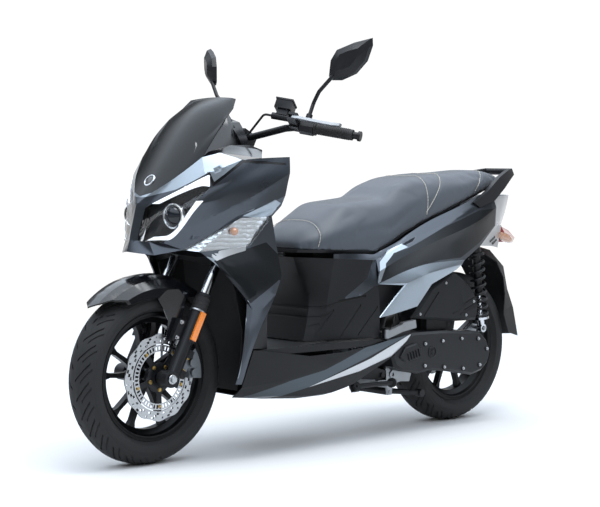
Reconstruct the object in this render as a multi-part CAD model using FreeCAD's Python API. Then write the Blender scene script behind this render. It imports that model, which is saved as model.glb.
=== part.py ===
import FreeCAD, Part
import math
import os

V = FreeCAD.Vector

# Driving dimensions, in millimetres and degrees.
# X runs forward from the rear axle, Y to the rider's left, Z up from the ground.

WHEELBASE = 1370.0
WHEEL_R = 262.0                 # both tyres, 14-inch rims
FLANGE_R = 191.0                # rim flange
FLANGE_RISE = 13.6              # from the bead seat to the top of the flange
BEAD_R = FLANGE_R - FLANGE_RISE
FRONT_TYRE_W = 116.0
REAR_TYRE_W = 136.0
TYRE_FLAT = 16.0                # half-width of the flat crown band
TYRE_WALL = 9.0
FRONT_RIM_W = 82.0
REAR_RIM_W = 94.0
RIM_WALL = 4.0
RIM_LIP = 3.0                   # thickness of the flanges
WELL_DEPTH = 16.0               # from the bead seat down to the well
SPOKE_PAIRS = 5
SPOKE_W = 13.0
SPOKE_T = 20.0
HUB_R = 30.0
AXLE_R = 8.0
RUN_FIT = 0.05                  # radial running clearance of pins, shafts and slides
GAP = 0.4                       # clearance between neighbouring bodies
SEAT_GAP = 0.3                  # clearance of a part on the seat that carries it

FRONT_DISC_R = 130.0
REAR_DISC_R = 110.0
DISC_T = 4.0
DISC_BAND = 32.0                # radial width of the braking band
DISC_HOLES = 15
FRONT_DISC_Y = 62.0
REAR_DISC_Y = -66.0

RAKE = 27.0                     # steering axis from the vertical
AXLE_LEAD = 43.0                # front axle ahead of the steering axis
FORK_LEAD = 29.0                # fork legs ahead of the steering axis
FORK_Y = 100.0                  # fork leg from the centre plane
STANCHION_R = 15.5
SLIDER_R = 21.0
SLIDER_TOP = 268.0              # along the steering axis, from the axle's level
FORK_TRAVEL = 60.0
STEM_R = 15.0
HEAD_R = 26.0
CLAMP_LOW = 392.0               # underside of the fork bridge, along the steering axis
CLAMP_T = 26.0
HEAD_LENGTH = 160.0
BAR_CLAMP = 803.0               # handlebar clamp, along the steering axis
BAR_OVER_DECK = 62.24           # clamp above the dash deck, along the steering axis
BAR_LEAD = 37.0
BAR_R = 11.0
GRIP_R = 16.5
GRIP_LENGTH = 122.0

PANEL_T = 3.0                   # body panels
SCREEN_T = 4.0
LENS_T = 8.0                    # indicator lenses
FRAME_TUBE_R = 14.0
PIVOT_X = 455.0                 # swing unit pivot
PIVOT_Z = 200.0
PIVOT_R = 9.0
SHOCK_Y = 118.0                 # shocks from the centre plane
SHOCK_SPRING_R = 24.0
SHOCK_WIRE_R = 4.5
SHOCK_ROD_R = 6.0
SEAT_BASE_T = 10.0
FRONT_END = WHEELBASE + WHEEL_R
REAR_END = -379.0               # tip of the rear mudguard
ORIGIN_X = (FRONT_END + REAR_END) / 2

FRONT_AXLE = V(WHEELBASE, 0, WHEEL_R)
REAR_AXLE = V(0, 0, WHEEL_R)
STEER_UP = V(-math.sin(math.radians(RAKE)), 0, math.cos(math.radians(RAKE)))
STEER_AHEAD = V(math.cos(math.radians(RAKE)), 0, math.sin(math.radians(RAKE)))
STEER_BASE = FRONT_AXLE - STEER_AHEAD * AXLE_LEAD
ACROSS = V(0, 1, 0)


# Places

def steer(ahead, y, up):
    """A point in the steering frame: ahead of the axis, sideways, up along it."""
    return STEER_BASE + STEER_AHEAD * ahead + V(0, y, 0) + STEER_UP * up


# The front body's outlines are drawn for a dash deck at DRAWN_DECK. From WAIST_Z up
# they stretch with the real deck, which hangs under the handlebar.
DRAWN_DECK = V(WHEELBASE - 374.61, 0, 902.5)
WAIST_Z = 640.0
DECK = steer(0, 0, BAR_CLAMP - BAR_OVER_DECK)


def at_front(x, y, z):
    """A drawn point of the front body, its x given from the front axle."""
    share = max(0.0, min(1.0, (z - WAIST_Z) / (DRAWN_DECK.z - WAIST_Z)))
    return V(WHEELBASE + x, y, z) + (DECK - DRAWN_DECK) * share


# Solids

def face(points):
    return Part.Face(Part.makePolygon(points + [points[0]]))


def prism(points, sweep):
    return face(points).extrude(sweep)


def side_plate(outline, y0, y1):
    """An outline of (x, z) in the side view, extruded across from y0 to y1."""
    return prism([V(x, y0, z) for x, z in outline], V(0, y1 - y0, 0))


def box(x0, x1, y0, y1, z0, z1):
    return Part.makeBox(x1 - x0, y1 - y0, z1 - z0, V(x0, y0, z0))


def rod(start, end, radius):
    return Part.makeCylinder(radius, (end - start).Length, start, end - start)


def tube(start, end, outer, inner):
    return rod(start, end, outer).cut(rod(start, end, inner))


def mirrored(shape):
    return shape.mirror(V(0, 0, 0), ACROSS)


def group(*shapes):
    return Part.makeCompound(list(shapes))


def pair(shape):
    """A shape and its mirror image, as separate solids of one node."""
    return group(shape, mirrored(shape))


def fused(*shapes):
    return shapes[0].multiFuse(list(shapes[1:])).removeSplitter()


def turned(profile, centre):
    """A closed profile of (radius, y) turned about the wheel axis through centre."""
    points = [V(centre.x + r, centre.y + y, centre.z) for r, y in profile]
    return face(points).revolve(centre, ACROSS, 360)


def path(points, bend):
    """Straight runs joined by tangent arcs of one radius."""
    edges = []
    start = points[0]
    for before, corner, after in zip(points, points[1:], points[2:]):
        back = (before - corner).normalize()
        on = (after - corner).normalize()
        half = back.getAngle(on) / 2
        radius = min(bend, 0.45 * min((before - corner).Length, (after - corner).Length) * math.tan(half))
        reach = radius / math.tan(half)
        middle = corner + (back + on).normalize() * (radius / math.sin(half) - radius)
        arc_start, arc_end = corner + back * reach, corner + on * reach
        edges.append(Part.LineSegment(start, arc_start).toShape())
        edges.append(Part.Arc(arc_start, middle, arc_end).toShape())
        start = arc_end
    edges.append(Part.LineSegment(start, points[-1]).toShape())
    return Part.Wire(edges)


def pipe(points, radius, bend):
    """A round bar bent along a path."""
    end = Part.Wire(Part.Circle(points[0], points[1] - points[0], radius).toShape())
    return path(points, bend).makePipeShell([end], True, True)


def facets(a, b, c, d):
    """The one or two flat faces between four corners, without the empty ones."""
    same = 1e-6
    corners = []
    for point in (a, b, c, d):
        if not any(point.distanceToPoint(other) < same for other in corners):
            corners.append(point)
    if len(corners) < 3:
        return []
    if len(corners) == 3:
        return [face(corners)]
    normal = (b - a).cross(c - a)
    off_plane = abs(normal.normalize().dot(d - a)) if normal.Length > same else 1.0
    if off_plane < same:
        return [face(corners)]
    # Neighbours that share these corners split them along the same diagonal.
    first = min(range(4), key=lambda k: tuple(round(q, 4) for q in (corners[k].x, abs(corners[k].y),
                                                                    corners[k].z)))
    a, b, c, d = corners[first:] + corners[:first]
    return [face([a, b, c]), face([a, c, d])]


def largest(shape):
    return max(shape.Solids, key=lambda each: each.Volume)


def between(outer, inner):
    """The solid between two grids of points of the same size."""
    rows, columns = len(outer), len(outer[0])
    faces = []
    for i in range(rows - 1):
        for j in range(columns - 1):
            faces += facets(outer[i][j], outer[i][j + 1], outer[i + 1][j + 1], outer[i + 1][j])
            faces += facets(inner[i][j], inner[i + 1][j], inner[i + 1][j + 1], inner[i][j + 1])
    last = columns - 1
    for i in range(rows - 1):
        faces += facets(outer[i][0], outer[i + 1][0], inner[i + 1][0], inner[i][0])
        faces += facets(outer[i + 1][last], outer[i][last], inner[i][last], inner[i + 1][last])
    last = rows - 1
    for j in range(columns - 1):
        faces += facets(outer[0][j + 1], outer[0][j], inner[0][j], inner[0][j + 1])
        faces += facets(outer[last][j], outer[last][j + 1], inner[last][j + 1], inner[last][j])
    solid = Part.Solid(Part.Shell(faces))
    if solid.Volume < 0:                # the grids run the other way round
        return between(outer[::-1], inner[::-1])
    return solid


def nearest(point, start, end):
    """The point of a segment that lies nearest."""
    along = end - start
    share = (point - start).dot(along) / along.dot(along)
    return start + along * max(0.0, min(1.0, share))


def panel(rows, core, thickness=PANEL_T):
    """A moulded panel: a grid of outer points, thickened towards a core line.
    Panels that share an edge and a core meet face to face."""
    def inward(point):
        return point + (nearest(point, *core) - point).normalize() * thickness
    return between(rows, [[inward(point) for point in row] for row in rows])


FRONT_CORE = (at_front(-290, 0, 250), at_front(-290, 0, 790))
WHEEL_CORE = (at_front(-200, 0, 200), at_front(-200, 0, 640))
BODY_CORE = (V(650, 0, 560), V(-150, 0, 660))

# Wheels, tyres and discs

def rim(centre, width):
    """A cast rim: the well and flanges turned, with twin spokes from the hub."""
    half = width / 2
    seat = half - RIM_LIP
    well = BEAD_R - WELL_DEPTH
    outer = [(FLANGE_R, half), (FLANGE_R, seat), (BEAD_R, seat), (BEAD_R, seat - 17), (well, seat - 24)]
    inner = [(well - RIM_WALL, seat - 24), (BEAD_R - RIM_WALL, half)]
    profile = outer + [(r, -y) for r, y in outer[::-1]] + [(r, -y) for r, y in inner[::-1]] + inner
    ring = turned(profile, centre)
    hub_half = half - 6
    hub = rod(centre - ACROSS * hub_half, centre + ACROSS * hub_half, HUB_R)
    foot, root = well - RIM_WALL / 2, HUB_R - 6
    solid = fused(ring, hub)
    for index in range(SPOKE_PAIRS):
        middle = 90 + 360 * index / SPOKE_PAIRS
        for side in (-1, 1):
            out = math.radians(middle + side * 13)
            base = math.radians(middle + side * 16)
            run = V(math.cos(out), 0, math.sin(out)) * foot - V(math.cos(base), 0, math.sin(base)) * root
            wide = run.cross(ACROSS).normalize()
            start = centre + V(math.cos(base), 0, math.sin(base)) * root
            corners = [start + wide * SPOKE_W * 0.75, start - wide * SPOKE_W * 0.75,
                       start + run - wide * SPOKE_W / 2, start + run + wide * SPOKE_W / 2]
            spoke = prism([p - ACROSS * SPOKE_T / 2 for p in corners], ACROSS * SPOKE_T)
            solid = solid.fuse(spoke)
    solid = solid.removeSplitter()
    bore = rod(centre - ACROSS * half, centre + ACROSS * half, AXLE_R + RUN_FIT)
    return solid.cut(bore)


def tyre(centre, width, rim_width):
    """A tyre with a flat crown band, open inside, its beads on the rim's seats."""
    half = width / 2
    bead = rim_width / 2 - RIM_LIP
    crown = [(WHEEL_R, -TYRE_FLAT), (WHEEL_R, TYRE_FLAT)]
    right = [(WHEEL_R - 7, half * 0.55), (WHEEL_R - 21, half * 0.86), (WHEEL_R - 38, half),
             (FLANGE_R + 14, half * 0.96), (FLANGE_R + 2, bead + RIM_LIP), (FLANGE_R, bead), (BEAD_R, bead)]
    heel = [(BEAD_R, bead - 13), (FLANGE_R, bead - 10), (FLANGE_R + 16, half * 0.96 - TYRE_WALL),
            (WHEEL_R - 38, half - TYRE_WALL), (WHEEL_R - 24, half * 0.86 - TYRE_WALL),
            (WHEEL_R - 12, half * 0.5)]
    inside = [(WHEEL_R - 10, -TYRE_FLAT), (WHEEL_R - 10, TYRE_FLAT)]
    profile = (crown + right + heel + inside[::-1]
               + [(r, -y) for r, y in heel[::-1]] + [(r, -y) for r, y in right[::-1]])
    return turned(profile, centre)


def disc(centre, radius, y, hub_y):
    """A brake disc: a drilled band on a five-armed carrier that bolts to the hub."""
    face_y = V(centre.x, y, centre.z)
    back, front = face_y - ACROSS * DISC_T / 2, face_y + ACROSS * DISC_T / 2
    inner = radius - DISC_BAND
    band = tube(back, front, radius, inner)
    carrier = tube(back, front, HUB_R + 14, HUB_R - 8)
    arms = []
    for index in range(SPOKE_PAIRS):
        angle = math.radians(90 + 360 * (index + 0.5) / SPOKE_PAIRS)
        out = V(math.cos(angle), 0, math.sin(angle))
        wide = out.cross(ACROSS) * 11
        start, end = back + out * (HUB_R + 4), back + out * (inner + 6)
        arms.append(prism([start + wide, start - wide, end - wide, end + wide], ACROSS * DISC_T))
    spacer = tube(V(centre.x, hub_y, centre.z), back if y > hub_y else front, HUB_R - 2, HUB_R - 8)
    solid = fused(band, carrier, spacer, *arms)
    for index in range(DISC_HOLES):
        angle = 2 * math.pi * index / DISC_HOLES
        reach = radius - DISC_BAND * (0.35 + 0.3 * (index % 2))
        place = back + V(math.cos(angle), 0, math.sin(angle)) * reach
        solid = solid.cut(rod(place - ACROSS, place + ACROSS * (DISC_T + 1), 4.0))
    return solid


# Steering and fork

BAR_POINTS = [steer(BAR_LEAD, 0, BAR_CLAMP), steer(BAR_LEAD, 48, BAR_CLAMP),
              steer(12, 152, BAR_CLAMP + 43), steer(-6, 212, BAR_CLAMP + 58), steer(-88, 362, BAR_CLAMP + 69)]
GRIP_AXIS = (BAR_POINTS[4] - BAR_POINTS[3]).normalize()
GRIP_END = BAR_POINTS[4] - GRIP_AXIS * 16
GRIP_START = GRIP_END - GRIP_AXIS * GRIP_LENGTH
STANCHION_LOW = 120.0


def fork_line(up):
    return steer(FORK_LEAD, FORK_Y, up)


def steering_stem():
    """Steering tube, lower bridge with its fork clamps, and the handlebar clamp."""
    shaft = rod(steer(0, 0, CLAMP_LOW), steer(0, 0, BAR_CLAMP - 20), STEM_R)
    outline = [steer(-22, -22, CLAMP_LOW), steer(-22, 22, CLAMP_LOW), steer(10, FORK_Y - 8, CLAMP_LOW),
               steer(FORK_LEAD + 18, FORK_Y - 8, CLAMP_LOW), steer(34, 0, CLAMP_LOW),
               steer(FORK_LEAD + 18, -FORK_Y + 8, CLAMP_LOW), steer(10, -FORK_Y + 8, CLAMP_LOW)]
    bridge = prism(outline, STEER_UP * CLAMP_T)
    clamp_eye = rod(fork_line(CLAMP_LOW), fork_line(CLAMP_LOW + CLAMP_T), STANCHION_R + 7)
    riser = prism([steer(-17, -24, BAR_CLAMP - 45), steer(-17, 24, BAR_CLAMP - 45),
                   steer(20, 24, BAR_CLAMP - 45), steer(20, -24, BAR_CLAMP - 45)], STEER_UP * 30)
    saddle = prism([steer(0, -27, BAR_CLAMP - 20), steer(0, 27, BAR_CLAMP - 20),
                    steer(BAR_LEAD + 21, 27, BAR_CLAMP - 20), steer(BAR_LEAD + 21, -27, BAR_CLAMP - 20)],
                   STEER_UP * 40)
    solid = fused(shaft, bridge, riser, saddle, clamp_eye, mirrored(clamp_eye))
    bore = rod(fork_line(CLAMP_LOW - 1), fork_line(CLAMP_LOW + CLAMP_T + 1), STANCHION_R)
    bar_seat = rod(steer(BAR_LEAD, -28, BAR_CLAMP), steer(BAR_LEAD, 28, BAR_CLAMP), BAR_R)
    return solid.cut(bore).cut(mirrored(bore)).cut(bar_seat)


def fork_stanchions():
    return pair(rod(fork_line(STANCHION_LOW), fork_line(CLAMP_LOW + CLAMP_T), STANCHION_R))


def handlebar():
    """One bent tube across the clamp, with a weight on each end."""
    half = BAR_POINTS[1:]
    points = [V(p.x, -p.y, p.z) for p in half[::-1]] + half
    bar = pipe(points, BAR_R, 40)
    weight = rod(BAR_POINTS[4], BAR_POINTS[4] + GRIP_AXIS * 9, GRIP_R - 1)
    return fused(bar, weight, mirrored(weight))


def grip():
    """The left grip, with a flange at its inner end."""
    sleeve = rod(GRIP_START, GRIP_END, GRIP_R)
    flange = rod(GRIP_START, GRIP_START + GRIP_AXIS * 6, GRIP_R + 5)
    bore = rod(GRIP_START - GRIP_AXIS, GRIP_END + GRIP_AXIS, BAR_R)
    return fused(sleeve, flange).cut(bore)


def throttle_grip():
    sleeve = rod(GRIP_START, GRIP_END, GRIP_R)
    flange = rod(GRIP_START, GRIP_START + GRIP_AXIS * 6, GRIP_R + 5)
    bore = rod(GRIP_START - GRIP_AXIS, GRIP_END + GRIP_AXIS, BAR_R + RUN_FIT)
    return mirrored(fused(sleeve, flange).cut(bore))


def on_bar(along, ahead, up):
    """A point beside the straight end of the bar: along it from the grip's inner end,
    ahead of it and up from it."""
    forward = ACROSS.cross(STEER_UP).normalize()
    forward = (forward - GRIP_AXIS * forward.dot(GRIP_AXIS)).normalize()
    rise = forward.cross(GRIP_AXIS)
    return GRIP_START + GRIP_AXIS * along + forward * ahead + rise * up


HOUSING_LENGTH = 44.0
BUTTON_FACE = -20.0                     # the switch housings' rear face, ahead of the bar's axis
BUTTON_TRAVEL = 2.0
BUTTON_PROUD = 3.5
POCKET_DEPTH = 5.5
TURN_TRAVEL = 3.0
# up, along, height and length of each button on that face
HORN = (-4.0, -32.0, 7.0, 11.0)
TURN = (-4.0, -14.0, 7.0, 15.0)
START = (-4.0, -24.0, 8.0, 14.0)


def block_on_bar(along0, along1, outline):
    """An outline of (ahead, up) round the bar, extruded along it."""
    points = [on_bar(along0, ahead, up) for ahead, up in outline]
    return prism(points, GRIP_AXIS * (along1 - along0))


def switch_housing():
    """The left switch housing, round the bar beside the grip."""
    outline = [(BUTTON_FACE, -12), (BUTTON_FACE, 10), (-12, 22), (10, 22), (20, 13), (21, -8), (12, -22),
               (-10, -22)]
    return block_on_bar(-HOUSING_LENGTH - 1, -1, outline).cut(handlebar())


def button_pocket(up, along, height, length, depth):
    """A block set into the housing's rear face."""
    corners = [on_bar(along - length / 2, BUTTON_FACE, up - height / 2),
               on_bar(along + length / 2, BUTTON_FACE, up - height / 2),
               on_bar(along + length / 2, BUTTON_FACE, up + height / 2),
               on_bar(along - length / 2, BUTTON_FACE, up + height / 2)]
    inward = on_bar(0, 1, 0) - on_bar(0, 0, 0)
    return prism(corners, inward * depth)


def pocket(place, side_room):
    """The pocket for a button, with room beside it for one that slides."""
    up, along, height, length = place
    fit = 2 * GAP
    return button_pocket(up, along, height + fit, length + fit + 2 * side_room, POCKET_DEPTH)


def plunger(place):
    """A button: its body in the pocket, and a cap that stands proud of the face."""
    up, along, height, length = place
    out = on_bar(0, -1, 0) - on_bar(0, 0, 0)
    body = button_pocket(up, along, height, length, POCKET_DEPTH - BUTTON_TRAVEL - 2 * GAP)
    cap = button_pocket(up, along, height, length, BUTTON_PROUD)
    cap.translate(out * BUTTON_PROUD)
    return fused(body, cap)


def switchgear():
    left = switch_housing().cut(pocket(HORN, 0)).cut(pocket(TURN, TURN_TRAVEL))
    right = mirrored(switch_housing().cut(pocket(START, 0)))
    return group(left, right)


LEVER_PIVOT = on_bar(-62, 44, 2)
LEVER_T = 9.0
LEVER_AXIS = on_bar(0, 0, 1) - on_bar(0, 0, 0)


def brake_lever():
    """The left lever: a blade whose tip hooks forward, bored at its root."""
    front = [(-72, 44), (-64, 53), (-40, 56), (0, 52), (60, 50), (88, 55)]
    back = [(94, 48), (86, 43), (60, 40), (0, 42), (-44, 43), (-56, 34), (-68, 34)]
    low = 2 - LEVER_T / 2
    blade = prism([on_bar(along, ahead, low) for along, ahead in front + back], LEVER_AXIS * LEVER_T)
    bore = rod(LEVER_PIVOT - LEVER_AXIS * 9, LEVER_PIVOT + LEVER_AXIS * 9, 3.0 + RUN_FIT)
    return blade.cut(bore)


def brake_reservoir():
    """Master cylinder on the bar, with the lever's fork and a square fluid tank."""
    clamp = block_on_bar(-76, -48, [(-16, -14), (-16, 14), (18, 15), (18, -15)])
    arm = block_on_bar(-76, -48, [(16, -11), (16, 15), (56, 15), (56, -11)])
    cylinder = rod(on_bar(-132, 34, 2), on_bar(-60, 34, 2), 10.5)
    neck = block_on_bar(-118, -84, [(20, 6), (20, 26), (46, 26), (46, 6)])
    tank = block_on_bar(-128, -76, [(6, 24), (6, 52), (54, 52), (54, 24)])
    lid = block_on_bar(-130, -74, [(4, 52), (4, 57), (56, 57), (56, 52)])
    slot = block_on_bar(-77, -42, [(26, 2 - LEVER_T / 2 - GAP), (26, 2 + LEVER_T / 2 + GAP),
                                   (60, 2 + LEVER_T / 2 + GAP), (60, 2 - LEVER_T / 2 - GAP)])
    pin = rod(LEVER_PIVOT - LEVER_AXIS * 12, LEVER_PIVOT + LEVER_AXIS * 12, 3.0)
    return fused(clamp, arm, cylinder, neck, tank, lid).cut(slot).cut(handlebar()).fuse(pin)


def brake_hoses():
    """A hose from each master cylinder, led over the dash and down behind the stem."""
    start = on_bar(-132, 34, 2)
    inward = (on_bar(-133, 34, 2) - start).normalize()
    points = [start, start + inward * 26, steer(62, 62, BAR_CLAMP + 6), steer(58, 34, BAR_CLAMP - 22),
              steer(34, 27, BAR_CLAMP - 46), steer(21, 18, BAR_CLAMP - 70), steer(19, 16, BAR_CLAMP - 120)]
    return pair(pipe(points, 3.6, 18))


MIRROR_FOOT = on_bar(-30, -1, 22.3)
MIRROR_TURN = LEVER_AXIS
MIRROR_SLANT = 0.62                     # how far the head leans back, per unit outwards
MIRROR_DEPTH = 26.0


def mirror_point(y, z, forward):
    """A point of the mirror's head, forward of the glass plane."""
    return at_front(-494 - MIRROR_SLANT * (y - 262) + forward, y + forward * 0.5, z)


def mirror():
    """A mirror: boot, bent stem, and a leaf-shaped dish that faces the rider."""
    boot = rod(MIRROR_FOOT, MIRROR_FOOT + MIRROR_TURN * 20, 10.0)
    neck = mirror_point(272, 1162, MIRROR_DEPTH * 0.5)
    stem = pipe([MIRROR_FOOT + MIRROR_TURN * 8, MIRROR_FOOT + MIRROR_TURN * 62, MIRROR_FOOT + V(-24, 22, 88),
                 neck], 6.0, 22)
    outline = [(256, 1160), (260, 1208), (276, 1240), (322, 1262), (370, 1276), (371, 1252), (358, 1206),
               (330, 1168), (292, 1148), (266, 1148)]
    middle_y, middle_z = 306, 1208
    sections = []
    for forward, share in ((0, 1.0), (MIRROR_DEPTH * 0.5, 0.9), (MIRROR_DEPTH, 0.5)):
        points = [mirror_point(middle_y + (y - middle_y) * share, middle_z + (z - middle_z) * share, forward)
                  for y, z in outline]
        sections.append(Part.makePolygon(points + [points[0]]))
    dish = Part.makeLoft(sections, True, True)
    return fused(stem, boot, dish)


# Fork lowers, front mudguard and caliper

SLIDER_BORE = STANCHION_LOW - FORK_TRAVEL - 8
MUDGUARD_R = 303.0
MUDGUARD_HALF = 76.0
MUDGUARD_DROP = 66.0                    # from the crown down to the hem of its sides
LUG_R = 25.0
SPACER_R = 13.0
CALIPER_BOLT = (steer(FORK_LEAD - 34, FORK_Y - 6, 34), steer(FORK_LEAD - 34, FORK_Y - 6, 98))


def fork_sliders():
    """Both fork lowers with their axle lugs, dust seals and the front axle."""
    leg = rod(fork_line(-6), fork_line(SLIDER_TOP), SLIDER_R)
    seal = rod(fork_line(SLIDER_TOP), fork_line(SLIDER_TOP + 9), SLIDER_R + 2)
    foot = FRONT_AXLE + ACROSS * (FORK_Y - SLIDER_R)
    lug = rod(foot, foot + ACROSS * 2 * SLIDER_R, LUG_R)
    spacer = rod(FRONT_AXLE + ACROSS * (FRONT_RIM_W / 2 - 6 + GAP), foot, SPACER_R)
    half = fused(leg, seal, lug, spacer)
    axle_end = ACROSS * (FORK_Y + SLIDER_R + 4)
    axle = rod(FRONT_AXLE - axle_end, FRONT_AXLE + axle_end, AXLE_R)
    ears = []
    for bolt in CALIPER_BOLT:
        inner = V(bolt.x, FORK_Y - 14, bolt.z)
        corners = [inner + STEER_UP * up + STEER_AHEAD * ahead
                   for ahead, up in ((-12, 12), (-12, -12), (30, -12), (30, 12))]
        ears.append(prism(corners, ACROSS * 14))
    stay_y = MUDGUARD_HALF + SEAT_GAP
    stay = prism([steer(ahead, stay_y, up) for ahead, up in ((75, 107), (38, 126), (47, 180), (77, 178))],
                 ACROSS * (FORK_Y - 6 - stay_y))
    solid = fused(half, mirrored(half), axle, stay, mirrored(stay), *ears)
    bore = rod(fork_line(SLIDER_BORE), fork_line(SLIDER_TOP + 10), STANCHION_R + RUN_FIT)
    return solid.cut(bore).cut(mirrored(bore))


def front_mudguard():
    """An arched shell over the tyre, with a pointed nose and a lobe on each fork leg."""
    crown, half, t = MUDGUARD_R, MUDGUARD_HALF, PANEL_T
    skirt = crown - MUDGUARD_DROP
    outer = [(crown, 0), (crown - 4, half - 48), (crown - 16, half - 24), (crown - 40, half - 6),
             (skirt, half)]
    inner = [(skirt, half - t), (crown - 41, half - 6 - t), (crown - 18, half - 26),
             (crown - 4 - t, half - 49),
             (crown - t, 0)]
    arch = face([FRONT_AXLE + V(r, y, 0) for r, y in outer + inner]).revolve(FRONT_AXLE, V(0, -1, 0), 96)
    arch.rotate(FRONT_AXLE, V(0, -1, 0), 32)

    def from_axle(outline):
        return [(FRONT_AXLE.x + x, FRONT_AXLE.z + z) for x, z in outline]
    hem, far = crown - 71, crown + 30
    below = side_plate(from_axle([(far, 0), (far, hem - 28), (crown - 128, hem - 24), (crown - 243, hem),
                                  (-far, hem), (-far, 0)]), -1, half + 14)
    beak = prism([FRONT_AXLE + V(x, y, 0) for x, y in
                  ((crown - 87, -1), (far, -1), (far, half + 24), (crown - 213, half + 24),
                   (crown - 195, half),
                   (crown - 143, half - 21), (crown - 106, half - 46))], V(0, 0, far))
    lobe = side_plate(from_axle([(18, hem), (-4, hem - 33), (-20, hem - 63), (-14, 112), (-58, 114),
                                 (-88, hem - 1),
                                 (-60, hem + 26), (-20, hem + 26)]), half - t, half)
    arch = arch.cut(below).cut(beak)
    half = fused(arch, lobe)
    return fused(half, mirrored(half))


def front_caliper():
    """A two-piston sliding caliper over the disc's rear edge, on the left fork leg."""
    def sector(r0, r1, a0, a1, y0, y1):
        steps = 5
        angles = [math.radians(a0 + (a1 - a0) * i / steps) for i in range(steps + 1)]
        points = [(WHEELBASE + math.cos(a) * r1, WHEEL_R + math.sin(a) * r1) for a in angles]
        points += [(WHEELBASE + math.cos(a) * r0, WHEEL_R + math.sin(a) * r0) for a in angles[::-1]]
        return side_plate(points, y0, y1)
    low, high = FRONT_DISC_Y - 12.0, FRONT_DISC_Y + 24.0
    body = sector(FRONT_DISC_R - DISC_BAND - 4, FRONT_DISC_R + 12, 146, 184, low, high)
    slot = sector(FRONT_DISC_R - DISC_BAND - 8, FRONT_DISC_R + 2, 140, 190,
                  FRONT_DISC_Y - DISC_T / 2 - GAP, FRONT_DISC_Y + DISC_T / 2 + GAP)
    pistons = []
    for angle in (160, 176):
        a = math.radians(angle)
        place = V(WHEELBASE + math.cos(a) * 112, high - 6, WHEEL_R + math.sin(a) * 112)
        pistons.append(rod(place, place + ACROSS * 14, 13))
    lugs = []
    for bolt in CALIPER_BOLT:
        low_end = V(bolt.x, FORK_Y - 28, bolt.z)
        lugs.append(rod(low_end, low_end + ACROSS * 14, 11))
    plate = prism([V(b.x, FORK_Y - 22, b.z) for b in
                   (CALIPER_BOLT[0] + STEER_AHEAD * 6, CALIPER_BOLT[1] + STEER_AHEAD * 6,
                    CALIPER_BOLT[1] - STEER_AHEAD * 22, CALIPER_BOLT[0] - STEER_AHEAD * 22)], ACROSS * 8)
    return fused(body, plate, *pistons, *lugs).cut(slot).cut(fork_sliders())


# Swing unit: engine, belt cover, air box, exhaust and rear brake

ENGINE_Y = 74.0
REAR_HUB_HALF = REAR_RIM_W / 2 - 6
GEAR_R = 62.0
ARM_Y = -96.0
CVT_Y = (86.0, 158.0)
AIR_BOX_Y = (92.0, 152.0)


def bevelled_plate(outline, y0, y1, size):
    """A cover: an outline in the side view with the rim of its outer face bevelled."""
    solid = side_plate(outline, y0, y1)
    outer_rim = [e for e in solid.Edges if all(abs(v.Point.y - y1) < 1e-6 for v in e.Vertexes)]
    return solid.makeChamfer(size, outer_rim)


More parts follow.
